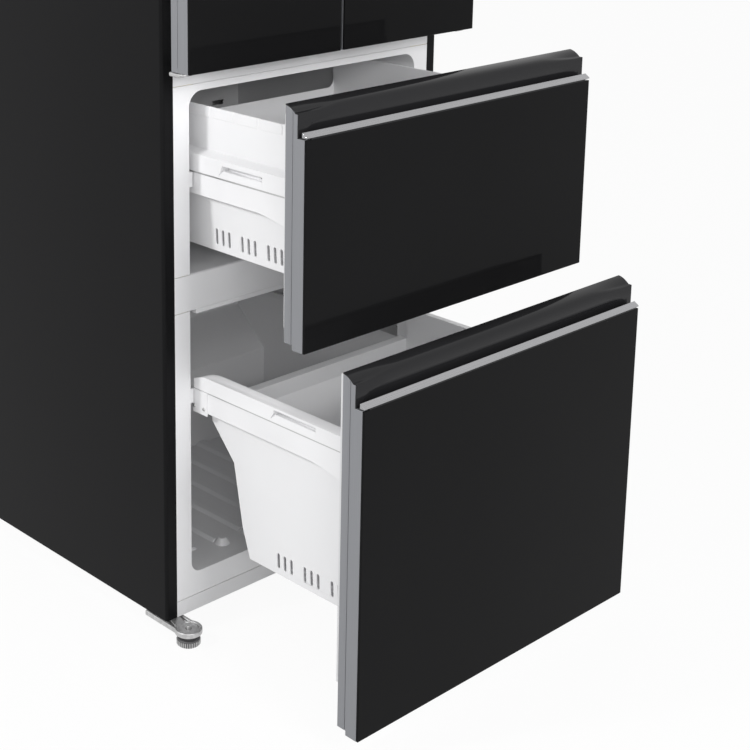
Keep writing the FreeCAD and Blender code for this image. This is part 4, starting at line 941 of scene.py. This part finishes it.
# Place, target, width and power of each lamp, and the rest of the studio.
LAMPS = {
    "side_lamp": ((-2.4, 0.45, 2.1), (-0.3, -0.1, 0.7), 0.25, 29),
    "left_lamp": ((-2.0, -2.6, 1.5), (0, -0.1, 0.6), 1.0, 20),
    "front_lamp": ((-0.5, -3.0, 2.2), (0, -0.1, 0.5), 1.0, 50),
}
FLOOR_WIDTH = 30
FLOOR_COLOUR = (0.8, 0.8, 0.8, 1)
FLOOR_WHITE_SHARE = 0.94
WORLD_WHITE = (1, 1, 1, 1)
WORLD_SOFT = 0.54
CAMERA_PLACE = Vector((-1.9687, -2.0625, 1.5404))
CAMERA_DIRECTION = Vector((0.6454, 0.7278, -0.2321))
CAMERA_SENSOR = 36
CAMERA_LENS = 76.58
CAMERA_SHIFT = (0.1928, -0.3142)


def lamp(name, place, target, width, power):
    """Soft square lamp."""
    light = bpy.data.lights.new(name, "AREA")
    light.shape = "RECTANGLE"
    light.size = light.size_y = width
    light.energy = power
    thing = bpy.data.objects.new(name, light)
    bpy.context.scene.collection.objects.link(thing)
    thing.location = place
    aim(thing, target)


def seen_ray(tree):
    """Socket that is 1 where the camera looks, also in a mirror or through glass."""
    path = tree.nodes.new("ShaderNodeLightPath")
    seen = path.outputs["Is Camera Ray"]
    for kind in ("Is Glossy Ray", "Is Transmission Ray"):
        either = tree.nodes.new("ShaderNodeMath")
        either.operation = "MAXIMUM"
        tree.links.new(seen, either.inputs[0])
        tree.links.new(path.outputs[kind], either.inputs[1])
        seen = either.outputs[0]
    return seen


def pale_floor():
    """Floor that looks white to the camera and keeps a soft shadow."""
    bpy.ops.mesh.primitive_plane_add(size=FLOOR_WIDTH)
    floor = bpy.context.object
    floor.name = "floor"
    material = bpy.data.materials.new("floor_white")
    material.use_nodes = True
    tree = material.node_tree
    tree.nodes.clear()
    output = tree.nodes.new("ShaderNodeOutputMaterial")
    mix = tree.nodes.new("ShaderNodeMixShader")
    diffuse = tree.nodes.new("ShaderNodeBsdfDiffuse")
    diffuse.inputs["Color"].default_value = FLOOR_COLOUR
    glow = tree.nodes.new("ShaderNodeEmission")
    share = tree.nodes.new("ShaderNodeMath")
    share.operation = "MULTIPLY"
    share.inputs[1].default_value = FLOOR_WHITE_SHARE
    tree.links.new(seen_ray(tree), share.inputs[0])
    tree.links.new(share.outputs[0], mix.inputs[0])
    tree.links.new(diffuse.outputs[0], mix.inputs[1])
    tree.links.new(glow.outputs[0], mix.inputs[2])
    tree.links.new(mix.outputs[0], output.inputs[0])
    floor.data.materials.append(material)


def studio_world():
    """World that lights softly and looks white in itself and in reflections."""
    world = bpy.data.worlds.new("studio")
    bpy.context.scene.world = world
    world.use_nodes = True
    tree = world.node_tree
    tree.nodes.clear()
    output = tree.nodes.new("ShaderNodeOutputWorld")
    soft = tree.nodes.new("ShaderNodeBackground")
    soft.inputs["Strength"].default_value = WORLD_SOFT
    soft.inputs["Color"].default_value = WORLD_WHITE
    bright = tree.nodes.new("ShaderNodeBackground")
    bright.inputs["Color"].default_value = WORLD_WHITE
    mix = tree.nodes.new("ShaderNodeMixShader")
    tree.links.new(seen_ray(tree), mix.inputs[0])
    tree.links.new(soft.outputs[0], mix.inputs[1])
    tree.links.new(bright.outputs[0], mix.inputs[2])
    tree.links.new(mix.outputs[0], output.inputs[0])


class FRIDGE_OT_stage(bpy.types.Operator):
    """Set up the floor, the studio light and the camera"""
    bl_idname = "fridge.stage"
    bl_label = "Stage"

    def execute(self, context):
        context.scene.view_settings.view_transform = "Standard"
        pale_floor()
        studio_world()
        for name, values in LAMPS.items():
            lamp(name, *values)
        data = bpy.data.cameras.new("camera")
        camera = bpy.data.objects.new("camera", data)
        context.scene.collection.objects.link(camera)
        context.scene.camera = camera
        data.sensor_width = CAMERA_SENSOR
        data.lens = CAMERA_LENS
        data.shift_x, data.shift_y = CAMERA_SHIFT
        camera.location = CAMERA_PLACE
        aim(camera, camera.location + CAMERA_DIRECTION)
        return {"FINISHED"}


OPERATORS = (FRIDGE_OT_cabinet, FRIDGE_OT_inside, FRIDGE_OT_doors, FRIDGE_OT_drawers, FRIDGE_OT_feet,
             FRIDGE_OT_machine, FRIDGE_OT_stage)


class FRIDGE_PT_panel(bpy.types.Panel):
    """Sidebar panel with the fridge's steps and values"""
    bl_label = "Fridge freezer"
    bl_space_type = "VIEW_3D"
    bl_region_type = "UI"
    bl_category = "Fridge"

    def draw(self, context):
        for operator in OPERATORS:
            self.layout.operator(operator.bl_idname)
        for group in (context.scene.fridge_sizes, context.scene.fridge_colours):
            for name in group.__annotations__:
                self.layout.prop(group, name)


CLASSES = (FridgeSizes, FridgeColours) + OPERATORS + (FRIDGE_PT_panel,)


def register():
    for item in CLASSES:
        bpy.utils.register_class(item)
    bpy.types.Scene.fridge_sizes = PointerProperty(type=FridgeSizes)
    bpy.types.Scene.fridge_colours = PointerProperty(type=FridgeColours)


def unregister():
    del bpy.types.Scene.fridge_sizes
    del bpy.types.Scene.fridge_colours
    for item in reversed(CLASSES):
        bpy.utils.unregister_class(item)


def main():
    register()
    bpy.ops.fridge.cabinet()
    bpy.ops.fridge.inside()
    bpy.ops.fridge.doors()
    bpy.ops.fridge.drawers()
    bpy.ops.fridge.feet()
    bpy.ops.fridge.machine()
    bpy.ops.fridge.stage()


if __name__ == "__main__":
    main()
